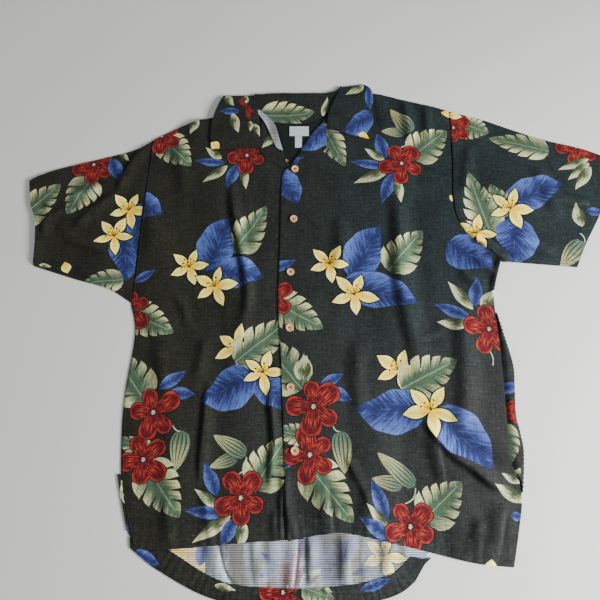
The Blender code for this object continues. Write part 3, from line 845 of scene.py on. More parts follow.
# %% [markdown]
# ## Cutting and laying a sheet
# The outline, the motifs and a loose grid of points go into one triangulation of the flat cloth, so the
# edge of every petal is a real edge of the mesh and stays sharp close up. Each triangle then takes the
# colour of the last motif printed over it. The flat points are lifted to where the piece lies, and
# Solidify gives the sheet its thickness, with the washed-out colours on its inside.

# %% Cut the flat cloth
def grid_points(ring, spacing):
    """Staggered rows of points all over the ring's box."""
    low, high = ring.min(0), ring.max(0)
    rows = np.arange(low[1], high[1], spacing * 0.866)
    columns = np.arange(low[0], high[0], spacing)
    return np.array([(x + spacing / 2 * (k % 2), y) for k, y in enumerate(rows) for x in columns])


def cut(ring, shapes, spacing=0.0062, extra=()):
    """The flat triangles inside a ring: their points, their kinds, and the shape that each one is in."""
    low, high = ring.min(0), ring.max(0)
    shapes = [s for s in shapes if (s.points.max(0) > low).all() and (s.points.min(0) < high).all()]
    loops = [ring] + [s.points for s in shapes]
    places = []
    faces = []
    for loop in loops:
        faces.append(list(range(len(places), len(places) + len(loop))))
        places += [Vector(p) for p in loop]
    loose = grid_points(ring, spacing)
    if len(extra):
        loose = np.vstack((loose, *extra))
        loose = loose[np.unique(np.round(loose / (1.1 * MM)), axis=0, return_index=True)[1]]
    loose = loose[inside(loose, ring)]
    loose = loose[distance_to(loose, ringed(ring)) > 0.9 * MM]
    places += [Vector(p) for p in loose]
    flat, _, triangles, _, _, covered = geometry.delaunay_2d_cdt(places, [], faces, 1, WELD, True)
    kept = [(tri, max(over)) for tri, over in zip(triangles, covered) if 0 in over]
    corners = np.array([tri for tri, _ in kept])
    return np.array([tuple(p) for p in flat]), corners, [top - 1 for _, top in kept], shapes


def reworked(mesh, work):
    """Opens a mesh, does the work on it, and writes it back."""
    opened = bmesh.new()
    opened.from_mesh(mesh)
    work(opened)
    opened.to_mesh(mesh)
    opened.free()


def add_maps(mesh, flat, corners, tops, shapes, shade):
    """Writes the three maps that the cloth's colours read; the fold map carries painted shade and light."""
    local = np.zeros((len(corners), 3, 2))
    tops = np.array(tops)
    for number in set(tops[tops >= 0]):
        rows = np.nonzero(tops == number)[0]
        local[rows] = shapes[number].frame(flat[corners[rows]].reshape(-1, 2)).reshape(-1, 3, 2)
    every = corners.ravel()
    for name, values in (("cloth", flat[every]), ("fold", np.column_stack((shade, 0 * shade))[every]),
                         ("motif", local)):
        mesh.uv_layers.new(name=name).data.foreach_set("uv", values.ravel())


def lay(name, parts, shade=None):
    """One sheet from its cut parts, each with the function that places it and whether it faces down. The
    shade darkens the cloth in the hollows beside its folds."""
    points, corners, flats, kinds, every_top, maps = [], [], [], [], [], []
    for (flat, triangles, tops, shapes), place, face_down in parts:
        used = np.unique(triangles)
        renumber = np.full(len(flat), -1)
        renumber[used] = np.arange(len(used)) + len(points)
        triangles = renumber[triangles]
        if face_down:
            triangles = triangles[:, ::-1]
        points += [tuple(p) for p in place(flat[used])]
        flats.append(flat[used])
        corners.append(triangles)
        kinds += [KINDS.index(shapes[top].kind) if top >= 0 else 0 for top in tops]
        every_top += [top + len(maps) if top >= 0 else -1 for top in tops]
        maps += shapes
    mesh = bpy.data.meshes.new(name)
    corners = np.vstack(corners)
    mesh.from_pydata(points, [], corners.tolist())
    flat = np.vstack(flats)
    add_maps(mesh, flat, corners, every_top, maps, shade(flat) if shade else np.zeros(len(flat)))
    for finish in printed + faded:
        mesh.materials.append(finish)
    mesh.polygons.foreach_set("material_index", kinds)
    made = new_object(name, mesh)
    if len(parts) > 1:
        reworked(mesh, lambda m: bmesh.ops.remove_doubles(m, verts=m.verts, dist=WELD))
    return made


def only(thing):
    """Selects one thing and makes it the active one."""
    bpy.ops.object.select_all(action="DESELECT")
    bpy.context.view_layer.objects.active = thing
    thing.select_set(True)


def thicken(piece, thickness=CLOTH_THICKNESS, materials=len(COLOURS), offset=-1.0, smooth=45):
    """Gives a sheet its thickness: towards its inside, or both ways at offset 0. Its inside takes the
    finish that stands so many places after the face's own."""
    only(piece)
    wall = piece.modifiers.new("thickness", "SOLIDIFY")
    wall.thickness = thickness
    wall.offset = offset
    wall.material_offset = materials
    bpy.ops.object.modifier_apply(modifier=wall.name)
    bpy.ops.object.shade_smooth_by_angle(angle=math.radians(smooth))
    print(piece.name, len(piece.data.polygons), "faces")


def hand_in(piece, slot, node, ring, rests_on, length=None, layers=1, held="laid", turned_back=0.0):
    """Rides the piece on the shirt, hides the CAD node that it stands for, and prints its cut. A strip is
    as long as the given length, a sleeve has two layers and is measured all round, and cloth that is turned
    back adds its area."""
    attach(piece, "root")
    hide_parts(node)
    area = abs(ring_area(ring)) * layers + turned_back
    width, height = (float(side) for side in np.ptp(ring, axis=0))
    if length == "across":
        width, height = height, width
    elif length:
        width, height = math.ceil(area / length * 1000) / 1000, length
    width, height = round(width * layers, 3), round(height, 3)
    list(rests_on)
    min(float(area), width * height)
    print(piece.name, "cut", width, "x", height, "area", round(float(area), 4))


def printed_piece(name, node, parts, ring, rests_on=(), shade=None, wall=(), **stated):
    """A sheet of the printed cloth, laid, thickened and attached to the shirt."""
    piece = lay(name, parts, shade)
    thicken(piece, *wall)
    hand_in(piece, "printed_cloth", node, ring, rests_on, **stated)


print("sheet helpers ready")

# %% [markdown]
# ## The print, piece by piece
# Each entry is a motif, the x and y of its base or heart, the way it points in degrees, its length or
# radius, and its width. Lengths are in millimetres. Leaves are printed first and the flowers over them.

# %% Print tables
def in_metres(*rows):
    return [(kind, x / 1000, y / 1000, turn, length / 1000, width / 1000)
            for kind, x, y, turn, length, width in rows]


FRONT_RIGHT = in_metres(
    ("monstera", -236, 308, -48, 84, 61), ("red", -238, 312, 10, 35, 0),
    ("green", -173, 346, -111, 36, 16), ("green", -127, 264, 143, 37, 16),
    ("blue_slim", -120, 256, 178, 56, 16), ("green", -116, 250, -139, 55, 18),
    ("blue_slim", -98, 254, -110, 55, 21), ("green", -89, 250, -81, 48, 16),
    ("red", -82, 271, 12, 36, 0), ("blue", -292, 184, -26, 75, 52), ("blue_slim", -265, 30, 29, 44, 15),
    ("monstera", -267, -21, -26, 84, 59), ("red", -264, -19, 0, 36, 0),
    ("monstera", -98, 82, 59, 103, 59), ("blue", -145, 50, 70, 102, 65), ("blue", -128, 50, -8, 80, 57),
    ("cream", -173, 58, 12, 37, 0), ("cream", -129, 23, 12, 38, 0), ("cream", -89, -81, 10, 36, 0),
    ("monstera", -90, -106, 40, 117, 62), ("blue", -57, -130, -156, 93, 66),
    ("blue", -51, -130, -48, 72, 50), ("cream", -46, -122, 6, 38, 0),
    ("monstera", -56, -297, 57, 91, 67), ("bud", -82, -252, -160, 44, 21),
    ("bud", -69, -250, 149, 59, 26), ("stem", -68, -252, -120, 32, 15),
    ("blue_slim", -110, -308, 114, 53, 21), ("green", -106, -325, 145, 47, 15),
    ("blue_slim", -94, -334, 175, 66, 18), ("green", -89, -336, -146, 66, 19),
    ("blue_slim", -82, -339, -117, 46, 21), ("green", -71, -342, -94, 41, 19),
    ("red", -75, -311, 20, 40, 0), ("monstera", -229, -168, 127, 101, 73),
    ("blue_slim", -208, -149, 36, 52, 19), ("blue_slim", -192, -154, -4, 42, 19),
    ("monstera", -213, -250, 154, 61, 37), ("stem", -183, -205, -29, 19, -8),
    ("bud", -167, -213, -97, 60, 31), ("monstera", -223, -262, -52, 97, 69),
    ("red", -225, -256, 5, 40, 0), ("red", -215, -185, 0, 42, 0),
)
FRONT_LEFT = in_metres(
    ("monstera", 53, 335, -65, 96, 51), ("bud", 203, 316, 174, 43, 20), ("bud", 215, 316, 125, 62, 31),
    ("stem", 213, 312, -131, 36, 15), ("blue_slim", 166, 264, 104, 56, 24),
    ("green", 164, 260, 144, 43, 16), ("blue_slim", 170, 246, 169, 72, 18),
    ("green", 170, 240, -157, 68, 21), ("blue_slim", 179, 236, -112, 70, 23),
    ("green", 183, 224, -84, 51, 18), ("monstera", 213, 269, 38, 85, 69), ("red", 194, 254, 13, 39, 0),
    ("blue", -32, 244, -60, 82, 50), ("blue_slim", -38, 50, 24, 51, 17),
    ("monstera", -33, -3, -29, 96, 66), ("red", -33, 2, 0, 36, 0), ("monstera", 161, 50, 50, 97, 65),
    ("blue", 97, 39, 60, 106, 65), ("blue", 85, 33, -19, 127, 62), ("cream", 63, 63, 0, 36, 0),
    ("cream", 103, 9, 0, 40, 0), ("blue_slim", 300, -14, 82, 51, 23), ("green", 296, -19, 127, 62, 20),
    ("blue_slim", 292, -36, 154, 67, 20), ("green", 287, -46, 173, 52, 20),
    ("green", 310, -17, 50, 43, 22), ("red", 320, -51, -10, 41, 0), ("stem", 318, -88, -84, 23, 6),
    ("cream", 170, -118, 9, 38, 0), ("monstera", 173, -148, 27, 101, 73),
    ("blue", 207, -184, 178, 107, 70), ("blue", 226, -178, -51, 119, 71),
    ("cream", 216, -181, -8, 41, 0), ("monstera", 16, -149, 129, 109, 77),
    ("green", 11, -134, 72, 42, 27), ("blue_slim", 45, -143, 27, 43, 17),
    ("blue_slim", 59, -146, -31, 44, 19), ("monstera", 22, -222, 168, 51, 34),
    ("blue_slim", 8, -241, -125, 39, 17), ("stem", 64, -204, -41, 16, -8),
    ("bud", 76, -213, -86, 64, 31), ("monstera", 24, -262, -51, 108, 69), ("red", 28, -249, 5, 41, 0),
    ("red", 34, -176, 0, 45, 0), ("monstera", 195, -343, 43, 81, 66), ("bud", 166, -295, 166, 48, 23),
    ("bud", 185, -295, 138, 74, 26), ("stem", 186, -297, -129, 29, 13),
    ("blue_slim", 142, -342, 111, 65, 21), ("green", 145, -357, 131, 52, 15),
    ("blue_slim", 151, -371, 146, 63, 21), ("blue_slim", 156, -371, 177, 26, 13),
    ("red", 175, -351, 15, 40, 0), ("green", 346, -317, 150, 52, 19), ("green", 341, -290, 152, 31, 12),
    ("blue_slim", 339, -338, 171, 18, 13), ("cream_petal", 285, -415, 84, 21, 17),
    ("blue", 264, 100, -32, 85, 68), ("cream_petal", 286, 177, 129, 18, 11),
    ("cream_petal", 272, 360, -8, 29, 15),
)
SLEEVE_RIGHT = in_metres(
    ("monstera", -475, 138, 49, 101, 66), ("monstera", -354, 224, -117, 79, 63),
    ("red", -355, 253, 15, 36, 0), ("blue_slim", -325, 266, -66, 53, 25),
    ("green", -312, 279, -43, 27, 11), ("blue", -288, 134, -84, 103, 58),
    ("blue", -267, 175, -85, 107, 45), ("cream", -284, 163, -2, 36, 0), ("cream", -305, 114, 2, 36, 0),
    ("cream_petal", -384, 66, -70, 21, 17), ("green", -425, 60, -6, 20, 8),
    ("monstera", -282, 35, -173, 73, 40),
)
SLEEVE_LEFT = in_metres(
    ("monstera", 309, 340, -24, 52, 59), ("green", 313, 344, 156, 31, 17), ("red", 293, 329, 0, 31, 0),
    ("monstera", 460, 279, 165, 109, 51), ("red", 511, 289, 0, 38, 0),
    ("green", 530, 264, -159, 63, 16), ("green", 529, 256, -141, 55, 18),
    ("green", 531, 248, -127, 58, 20), ("blue", 368, 173, 21, 116, 60),
    ("monstera", 371, 150, 111, 67, 46), ("monstera", 341, 112, 104, 126, 66),
    ("blue", 389, 146, -102, 87, 72), ("blue", 264, 100, -32, 85, 68), ("bare", 306, 100, -25, 68, 26),
    ("cream", 378, 165, 5, 40, 0), ("cream", 313, 116, 10, 36, 0),
    ("cream_petal", 282, 357, -8, 29, 15), ("green", 498, 131, 100, 43, 23),
    ("blue_slim", 508, 161, -6, 34, 16), ("bud", 497, 103, -135, 65, 34),
    ("stem", 493, 119, -70, 18, 5),
)
BACK = in_metres(
    ("cream_petal", -177, -371, -35, 60, 36), ("cream_petal", -150, -384, -50, 40, 24),
    ("blue_slim", -132, -404, 81, 40, 20), ("blue_slim", -12, -412, 141, 44, 13),
    ("blue_slim", -46, -418, 22, 34, 12), ("red_petal", 0, -418, 71, 55, 16),
    ("red", -4, -431, 0, 30, 0), ("green", 12, -430, 36, 40, 16), ("blue_slim", 72, -400, 60, 50, 20),
    ("blue_slim", 117, -404, -158, 34, 14), ("blue_slim", 164, -394, 3, 44, 15),
    ("cream", 135, -391, 8, 33, 0),
)
COLLAR = in_metres(
    ("green", -122, 401, -60, 32, 17), ("green", -84, 403, -104, 31, 19),
    ("blue_slim", -99, 359, 180, 34, 14), ("red_petal", -102, 391, -49, 33, 10),
    ("red_petal", -100, 387, 15, 17, 9), ("red_petal", -90, 374, -38, 32, 8),
    ("red_petal", -87, 372, -78, 36, 9), ("green", -109, 354, -70, 43, 18),
    ("green", -80, 338, -77, 22, 10), ("green", -67, 333, -60, 30, 13),
    ("monstera", -57, 361, 1, 96, 37), ("green", 55, 352, 78, 42, 21),
    ("green", 130, 427, -135, 44, 24), ("blue_slim", 136, 417, -87, 56, 20),
    ("blue", 150, 350, -152, 68, 34), ("cream_petal", 139, 304, 159, 24, 14),
    ("cream_petal", -131, 266, 131, 38, 18),
)
LAPEL_RIGHT = in_metres(
    ("green", -31, 314, -130, 38, 16),
)
TAIL_HEM = in_metres(
    ("red", -11, -438, 0, 34, 0), ("monstera", 16, -431, -19, 48, 31), ("green", 39, -429, -25, 22, 11),
    ("blue_slim", -228, -383, -28, 46, 16), ("blue_slim", 99, -436, 19, 49, 14),
    ("green", -109, -429, -12, 31, 11),
)
VENT = in_metres(
    ("blue_slim", -236, -384, 98, 36, 22), ("green", -243, -322, 109, 39, 13),
    ("green", -242, -396, 38, 9, 9),
)
LAPEL_LEFT = in_metres(
    ("blue_slim", -10, 245, 34, 40, 16), ("blue", 72, 335, -139, 83, 47),
)
SIDE_ROLL = in_metres(
    ("blue_slim", 34, -150, 172, 44, 18), ("red", 21, -186, 30, 24, 0),
    ("monstera", 30, -200, -96, 64, 40), ("green", 10, -268, -70, 40, 16),
)
FRONT_RIGHT_SHAPES = draw_print(FRONT_RIGHT)
FRONT_LEFT_SHAPES = draw_print(FRONT_LEFT)
print("shapes", len(FRONT_RIGHT_SHAPES), len(FRONT_LEFT_SHAPES))

# %% [markdown]
# ## The two fronts
# The wearer's left front laps over the right one at the button line. Both take their outline and lie from
# the frame and get the creases on top. The hem is turned up and stitched, so it puckers, and the side and
# shoulder edges curl down to meet the back.

# %% The right front
HEM_DEPTH = 0.036
BACK_TOP = 1.3 * MM
SEAM_GROOVE = (0.5 * MM, 1.8 * MM)
SEAM_ROWS = (1.2 * MM, 2.4 * MM, 4.0 * MM)


def rows_along(lines, offsets=SEAM_ROWS, step=0.004):
    """Extra points beside some lines, where the cloth bends within a few millimetres."""
    rows = []
    for line in lines:
        fine = through(line[::3] if len(line) > 12 else line, step)
        for offset in offsets:
            rows += [shifted(fine, offset), shifted(fine, -offset)]
    return rows


def curled(places, heights, lines, floor_height, radius=3.0 * MM):
    """Lets the cloth fall in a quarter round to the floor height at its joined edges."""
    for line in lines:
        part = 1 - np.clip(distance_to(places, line) / radius, 0, 1)
        heights = floor_height + (heights - floor_height) * np.sqrt(np.maximum(1 - part ** 2, 0.0))
    return heights


def front_surface(node, hem_at, curl_at, seam_at):
    """Everything about one front: its outline, its stitched lines, and its height and shade."""
    spans, base, _ = trace(node)
    hem = nearest_span(spans, *hem_at)
    curls = [nearest_span(spans, *at) for at in curl_at]
    seams = [nearest_span(spans, *at) for at in seam_at]
    stitched = shifted(hem, HEM_DEPTH)

    def height(places):
        z = base(places) + crease_rise(places) + pucker(places, hem, HEM_DEPTH + 0.004)
        z += groove(places, stitched)
        for seam in seams:
            z += groove(places, seam, *SEAM_GROOVE)
        return curled(places, z, curls, BACK_TOP)

    def shade(places):
        dark = fold_shade(places, CREASE_LINES) + seam_shade(places, curls + seams + [stitched])
        return limited(dark + pucker(places, hem, HEM_DEPTH, 0.5, 0.014))

    return spans, hem, stitched, curls, seams, height, shade


def on_top(height):
    return lambda flat: np.column_stack((flat, height(flat)))


def tucked(ring, front_side, low, high, by=3.0 * MM):
    """Draws a ring in behind the front's side edge between two heights."""
    up = np.argsort(front_side[:, 1])
    level = np.interp(ring[:, 1], front_side[up, 1], front_side[up, 0])
    near = (np.abs(ring[:, 0] - level) < 0.014) & (ring[:, 1] > low) & (ring[:, 1] < high)
    inner = level - np.sign(level) * by
    limit = np.where(level < 0, np.maximum(ring[:, 0], inner), np.minimum(ring[:, 0], inner))
    return np.column_stack((np.where(near, limit, ring[:, 0]), ring[:, 1]))


def lay_front(node, spans, shapes, lines, height, shade, rests_on):
    """Cuts and lays one front, with a finer mesh beside the given lines and the creases."""
    ring = closed(spans)
    part = cut(ring, shapes, extra=rows_along(lines) + crease_points(ring, CREASE_LINES))
    printed_piece(node + "_cloth", node, [(part, on_top(height), False)], ring, [rests_on], shade)


spans_r, _, stitch_r, curls_r, seams_r, height_r, shade_r = front_surface(
    "front_right", (-0.100, -0.375), ((-0.262, -0.190), (-0.170, 0.345)), ((-0.260, 0.140),))
lay_front("front_right", spans_r, FRONT_RIGHT_SHAPES, curls_r + seams_r + [stitch_r], height_r, shade_r,
          "back_panel")

# %% The left front
spans_l, hem_l, stitch_l, curls_l, seams_l, height_l, shade_l = front_surface(
    "front_left", (0.150, -0.375), ((0.335, -0.165), (0.197, 0.392)), ((0.285, 0.184),))
placket = nearest_span(spans_l, -0.021, 0.0)
placket_stitch = shifted(placket, 0.030)


def height_over_placket(places):
    """The folded edge of the button band stands a little proud."""
    return height_l(places) + 1.0 * MM * np.exp(-(distance_to(places, placket) / 0.006) ** 2)


def shade_over_placket(places):
    return limited(shade_l(places) + seam_shade(places, [placket, placket_stitch], 0.35))


lay_front("front_left", spans_l, FRONT_LEFT_SHAPES,
          curls_l + seams_l + [stitch_l, placket, placket_stitch],
          height_over_placket, shade_over_placket, "front_right")

# %% [markdown]
# ## The back
# The back lies printed side down, so its washed-out inside looks up below the front hem, where the
# tail hangs longer. Its own hem is turned up and stitched, which brings a dark band of the
# printed side into view, and so does the turned edge of the side vent.

# %% The back and its turned edges
TAIL_TOP = -0.24
spans_b, base_b, _ = trace("back_panel", 0.012, side=-1)
similar = [row for row in FRONT_RIGHT + FRONT_LEFT if row[2] > TAIL_TOP]
# Its own folds below the front hem, in the columns of the crease table.
TAIL_FOLDS = fold_lines((
    (7, 12, 4.5, (30, -350, 30, -385, 31, -440)), (5.5, 3, 8, (8, -350, 6, -390, -1, -445)),
    (5.5, 3, 10, (-118, -350, -106, -389, -96.7, -416, -76, -440)),
    (5, 12, 10, (86, -350, 86, -390, 84, -440)), (4, 10, 6, (-50, -350, -48, -390, -42, -440)),
    (4, 12, 8, (142, -350, 144, -390, 142, -430)),
))


def height_back(places):
    tail = 1 - smooth_step(places[:, 1], -0.385, -0.355)
    ripple = 0.5 * MM * np.sin(places[:, 0] * 150 + 2 * np.sin(places[:, 0] * 31))
    return base_b(places) + (np.maximum(ripple, 0.0) + 0.5 * fold_rise(places, TAIL_FOLDS)) * tail


def shade_back(places):
    return limited(1.6 * fold_shade(places, TAIL_FOLDS))


ring_back = tucked(closed(spans_b), curls_r[0], -0.300, 0.000)
hem_level = np.interp(ring_back[:, 0], *hem_l[np.argsort(hem_l[:, 0])].T) + 3.0 * MM
beyond = smooth_step(ring_back[:, 0], 0.186, 0.206) * (ring_back[:, 1] < -0.37)
ring_back[:, 1] += beyond * np.maximum(hem_level - ring_back[:, 1], 0.0)
back_part = cut(ring_back, draw_print(similar + BACK), 0.008, crease_points(ring_back, TAIL_FOLDS))
printed_piece("back_cloth", "back_panel", [(back_part, on_top(height_back), True)], ring_back,
              shade=shade_back)


def turned_edge(name, node, rows, extra_puff, tip=None):
    """A turned hem or facing: a strip of the printed side, puckered by its stitching. A tip tapers its
    right end off."""
    spans, base, _ = trace(node, 0.008, 40.0)
    edge = max(spans, key=len)
    outline = closed(spans)
    run_length = round(float(steps_of(edge).sum()), 3)
    if tip:
        outline = np.roll(outline, -int((outline @ (1.0, 1.0)).argmax()), axis=0)
        outline = np.vstack((outline[:int((outline @ (1.0, -1.0)).argmax()) + 1], tip))
        run_length += 0.025

    def height(places):
        lift = 0.5 * fold_rise(places, TAIL_FOLDS) if tip else 0.0
        return base(places) + pucker(places, edge, 0.06, extra_puff, 0.010) + 0.3 * MM + lift

    def shade(places):
        dark = seam_shade(places, [edge], 0.3) + (0.8 * fold_shade(places, TAIL_FOLDS) if tip else 0.0)
        return limited(dark + pucker(places, edge, 0.06, 0.55, 0.010))

    strip = cut(outline, draw_print(rows), 0.004)
    printed_piece(name, node, [(strip, on_top(height), False)], outline, ["back_cloth"], shade,
                  length=round(run_length, 3))


turned_edge("tail_hem", "back_hem_turn", TAIL_HEM, 0.8 * MM,
            ((0.193, -0.4020), (0.204, -0.3925), (0.193, -0.3945)))
turned_edge("vent_facing", "back_vent_turn", VENT, 0.3 * MM)

# %% [markdown]
# ## The sleeves
# A sleeve is a tube pressed flat. Its upper and lower skins are cut from the same outline, laid one above
# the other, and welded along the two pressed folds; at the armhole and at the cuff the tube stays open.

# %% Both sleeves
CUFF_DEPTH = 0.021
MID_LEVEL = 1.2 * MM


def make_sleeve(name, node, rows, cuff_at, arm_at, fold_at):
    """One sleeve as a tube of two skins."""
    spans, base, ring = trace(node, 0.018, lowest=1.8 * MM)
    cuff = nearest_span(spans, *cuff_at)
    arm = nearest_span(spans, *arm_at)
    folds = [nearest_span(spans, *at) for at in fold_at]
    inward = shifted(cuff, CUFF_DEPTH)
    finer = rows_along(folds + [arm, inward]) + crease_points(ring, CREASE_LINES)
    upper = cut(closed(spans), draw_print(rows), extra=finer)

    def lower_lift(places):
        distance = np.minimum(*(distance_to(places, fold) for fold in folds))
        part = 1 - np.clip(distance / (1.6 * MM), 0, 1)
        return 0.02 * MM + MID_LEVEL * (1 - np.sqrt(np.maximum(1 - part ** 2, 0.0)))

    def height(places):
        z = base(places) + crease_rise(places) + pucker(places, cuff, 0.024, 0.4 * MM)
        z += groove(places, inward) + groove(places, arm, *SEAM_GROOVE)
        return curled(places, z, folds, MID_LEVEL, 4.0 * MM)

    def shade(places):
        dark = fold_shade(places, CREASE_LINES) + seam_shade(places, [arm, inward])
        return limited(dark + pucker(places, cuff, 0.022, 0.35, 0.013))

    edge = rim_of(upper)
    turned = draw_print([(kind, x, y, turn + 40, *size) for kind, x, y, turn, *size in rows])
    lower_shapes = [s for s in turned
                    if inside(s.points, edge).all() and distance_to(s.points, ringed(edge)).min() > 2 * MM]
    lower = cut(edge, lower_shapes, extra=rows_along(folds))
    skins = [(upper, on_top(height), False), (lower, on_top(lower_lift), True)]
    printed_piece(name, node, skins, closed(spans), shade=shade, wall=(THIN,), layers=2, length="across")
    return arm, inward, height


def rim_of(part):
    """The outer ring of a cut part, with the points that motifs crossing it have added."""
    flat, triangles, _, _ = part
    sides = {(a, b) for tri in triangles.tolist() for a, b in zip(tri, tri[1:] + tri[:1])}
    return flat[outer_ring([(a, b) for a, b in sides if (b, a) not in sides], flat)]


_, cuff_stitch_r, height_sr = make_sleeve(
    "sleeve_right_cloth", "sleeve_right", SLEEVE_RIGHT, (-0.445, 0.140), (-0.262, 0.140),
    ((-0.350, 0.265), (-0.350, 0.033)))
arm_l, cuff_stitch_l, height_sl = make_sleeve(
    "sleeve_left_cloth", "sleeve_left", SLEEVE_LEFT, (0.530, 0.150), (0.285, 0.200),
    ((0.430, 0.315), (0.415, 0.062)))

# %% [markdown]
# ## The collar
# The collar is one strip, doubled cloth, that stands up from the neck seam, turns over at the roll line
# and falls. On this shirt the wings fall open over the fronts while the back of the fall has slipped
# under the back. Seventeen cross-sections, the same as the frame's, are smoothed into one surface.

# %% Collar sections
# Neck seam x, y, roll x, y, outer edge x, y, height of the stand, height of the outer edge, in mm.
COLLAR_ROWS = np.array((
    (-82, 290, -60, 283, -146, 283, 5.7, 7.5), (-82, 312, -60, 308, -148, 306, 5.7, 9),
    (-82, 335, -61, 333, -147, 338, 5.7, 10), (-86, 358, -64, 362, -139, 370, 5.7, 10),
    (-84, 372, -72, 398, -127, 398, 5.7, 4), (-70, 358, -58, 401, -112, 379, 5.7, 0.5),
    (-48, 343, -40, 403, -75, 330, 5.7, 0.5), (-24, 339, -18, 404, -36, 321, 5.3, 0.5),
    (5, 338, 8, 404, 6, 318, 4.5, 0.5), (32, 340, 36, 404, 46, 322, 5.3, 0.5),
    (54, 350, 62, 404, 84, 336, 5.7, 0.5), (78, 378, 80, 410, 120, 415, 5.7, 0.5),
    (90, 398, 90, 418, 133, 422, 5.7, 4), (95, 382, 79, 392, 146, 404, 5.7, 10),
    (88, 360, 67, 366, 147, 370, 5.7, 10), (84, 342, 63, 345, 146, 335, 5.7, 9),
    (86, 328, 64, 324, 144, 302, 5.7, 7.5),
)) / 1000
STAND_WIDTH = 0.036
TURN_WIDTH = 0.006
FALL_WIDTH = 0.084


def collar_section(row):
    """One section of the collar as a line of points, from the neck seam to the outer edge."""
    neck = np.array((row[0], row[1], row[6]))
    roll = np.array((row[2], row[3], row[6]))
    edge = np.array((row[4], row[5], row[7]))
    turn = np.array((row[2], row[3], row[7]))
    outward = (roll - neck) / np.linalg.norm(roll - neck)
    radius = abs(row[7] - row[6]) / 2
    line = [neck + (roll - outward * radius - neck) * k / 6 for k in range(7)]
    for degrees in (-60, -30, 0, 30, 60):
        angle = math.radians(degrees)
        line.append((roll + turn) / 2 - outward * radius * (1 - math.cos(angle))
                    + (turn - roll) / 2 * math.sin(angle))
    start = turn - outward * radius
    for k in range(13):
        line.append(start + (edge - start) * k / 12)
    return line


sections = np.array([collar_section(row) for row in COLLAR_ROWS])
ACROSS = np.concatenate((np.linspace(0, STAND_WIDTH, 7), STAND_WIDTH + TURN_WIDTH * np.arange(1, 6) / 6,
                         STAND_WIDTH + TURN_WIDTH + np.linspace(0, FALL_WIDTH, 13)))
run = np.concatenate(([0.0], np.cumsum(steps_of(sections)[:, [3, 9, 20]].mean(1))))
COLLAR_LENGTH = run[-1]
fine_u = np.linspace(0, COLLAR_LENGTH, 161)


def smoothed_along(values):
    """A smooth curve through one column of section points, at even steps along the collar."""
    p = carried_on(values)
    result = []
    for u in fine_u:
        k = min(int(np.searchsorted(run, u, "right")) - 1, len(run) - 2)
        result.append(curve_point(*p[k:k + 4], (u - run[k]) / (run[k + 1] - run[k])))
    return result


collar_grid = np.array([smoothed_along(sections[:, k]) for k in range(sections.shape[1])]).transpose(1, 0, 2)


def on_collar(flat):
    """Lifts flat places on the strip to where the collar lies."""
    u = np.clip(flat[:, 0] / COLLAR_LENGTH * (len(fine_u) - 1), 0, len(fine_u) - 1.001)
    v = np.interp(flat[:, 1], ACROSS, np.arange(len(ACROSS)))
    v = np.clip(v, 0, len(ACROSS) - 1.001)
    i, j = u.astype(int), v.astype(int)
    s, t = (u - i)[:, None], (v - j)[:, None]
    placed = ((1 - s) * (1 - t) * collar_grid[i, j] + s * (1 - t) * collar_grid[i + 1, j]
              + (1 - s) * t * collar_grid[i, j + 1] + s * t * collar_grid[i + 1, j + 1])
    fall = smooth_step(flat[:, 1], STAND_WIDTH + TURN_WIDTH, STAND_WIDTH + TURN_WIDTH + 0.03)
    placed[:, 2] += 0.5 * MM * fall * np.sin(flat[:, 0] * 70 + 1.0) * (placed[:, 2] > 6 * MM)
    return placed


def on_strip(x, y):
    """The place on the flat strip of what shows at a plan place: the highest cloth there."""
    gaps = np.hypot(collar_grid[..., 0] - x, collar_grid[..., 1] - y)
    close = gaps < max(0.006, gaps.min() + 1e-6)
    score = np.where(close, collar_grid[..., 2] - 0.3 * gaps, -1.0)
    i, j = np.unravel_index(score.argmax(), score.shape)
    return np.array((fine_u[i], ACROSS[j]))


def on_strip_row(kind, x, y, degrees, length, width):
    angle = math.radians(degrees)
    base = on_strip(x, y)
    tip = on_strip(x + length * math.cos(angle), y + length * math.sin(angle))
    away = tip - base
    size = max(float(np.hypot(*away)), 0.4 * length)
    turned = math.degrees(math.atan2(away[1], away[0]))
    return (kind, base[0], base[1], turned, min(size, 1.4 * length), width)


# %% Cut and place the collar
COLLAR_WIDTH = STAND_WIDTH + TURN_WIDTH + FALL_WIDTH
BOTH_FRONTS = ("front_right_cloth", "front_left_cloth")
collar_ring = closed([through(side, 0.004) for side in (
    ((0, 0), (COLLAR_LENGTH, 0)), ((COLLAR_LENGTH, 0), (COLLAR_LENGTH, COLLAR_WIDTH)),
    ((COLLAR_LENGTH, COLLAR_WIDTH), (0, COLLAR_WIDTH)), ((0, COLLAR_WIDTH), (0, 0)))])
along_turn = np.arange(0.002, COLLAR_LENGTH, 0.004)
turn_rows = [np.column_stack((along_turn, np.full(len(along_turn), v)))
             for v in STAND_WIDTH + TURN_WIDTH * np.arange(0, 7) / 6]
collar_shapes = draw_print([on_strip_row(*row) for row in COLLAR])
collar_part = cut(collar_ring, collar_shapes, 0.005, turn_rows)
printed_piece("collar_cloth", "collar", [(collar_part, on_collar, False)], collar_ring, BOTH_FRONTS,
              wall=(1.1 * MM, 0, 0.0, 50), held="folded")

# %% [markdown]
# ## Facings, yoke lining and labels
# Inside the neck the front facings turn outwards as lapels. Behind them lies the plain dark lining of the
# yoke with two bare woven labels.

# %% Lapels
INNER_LEVEL = 8.8 * MM


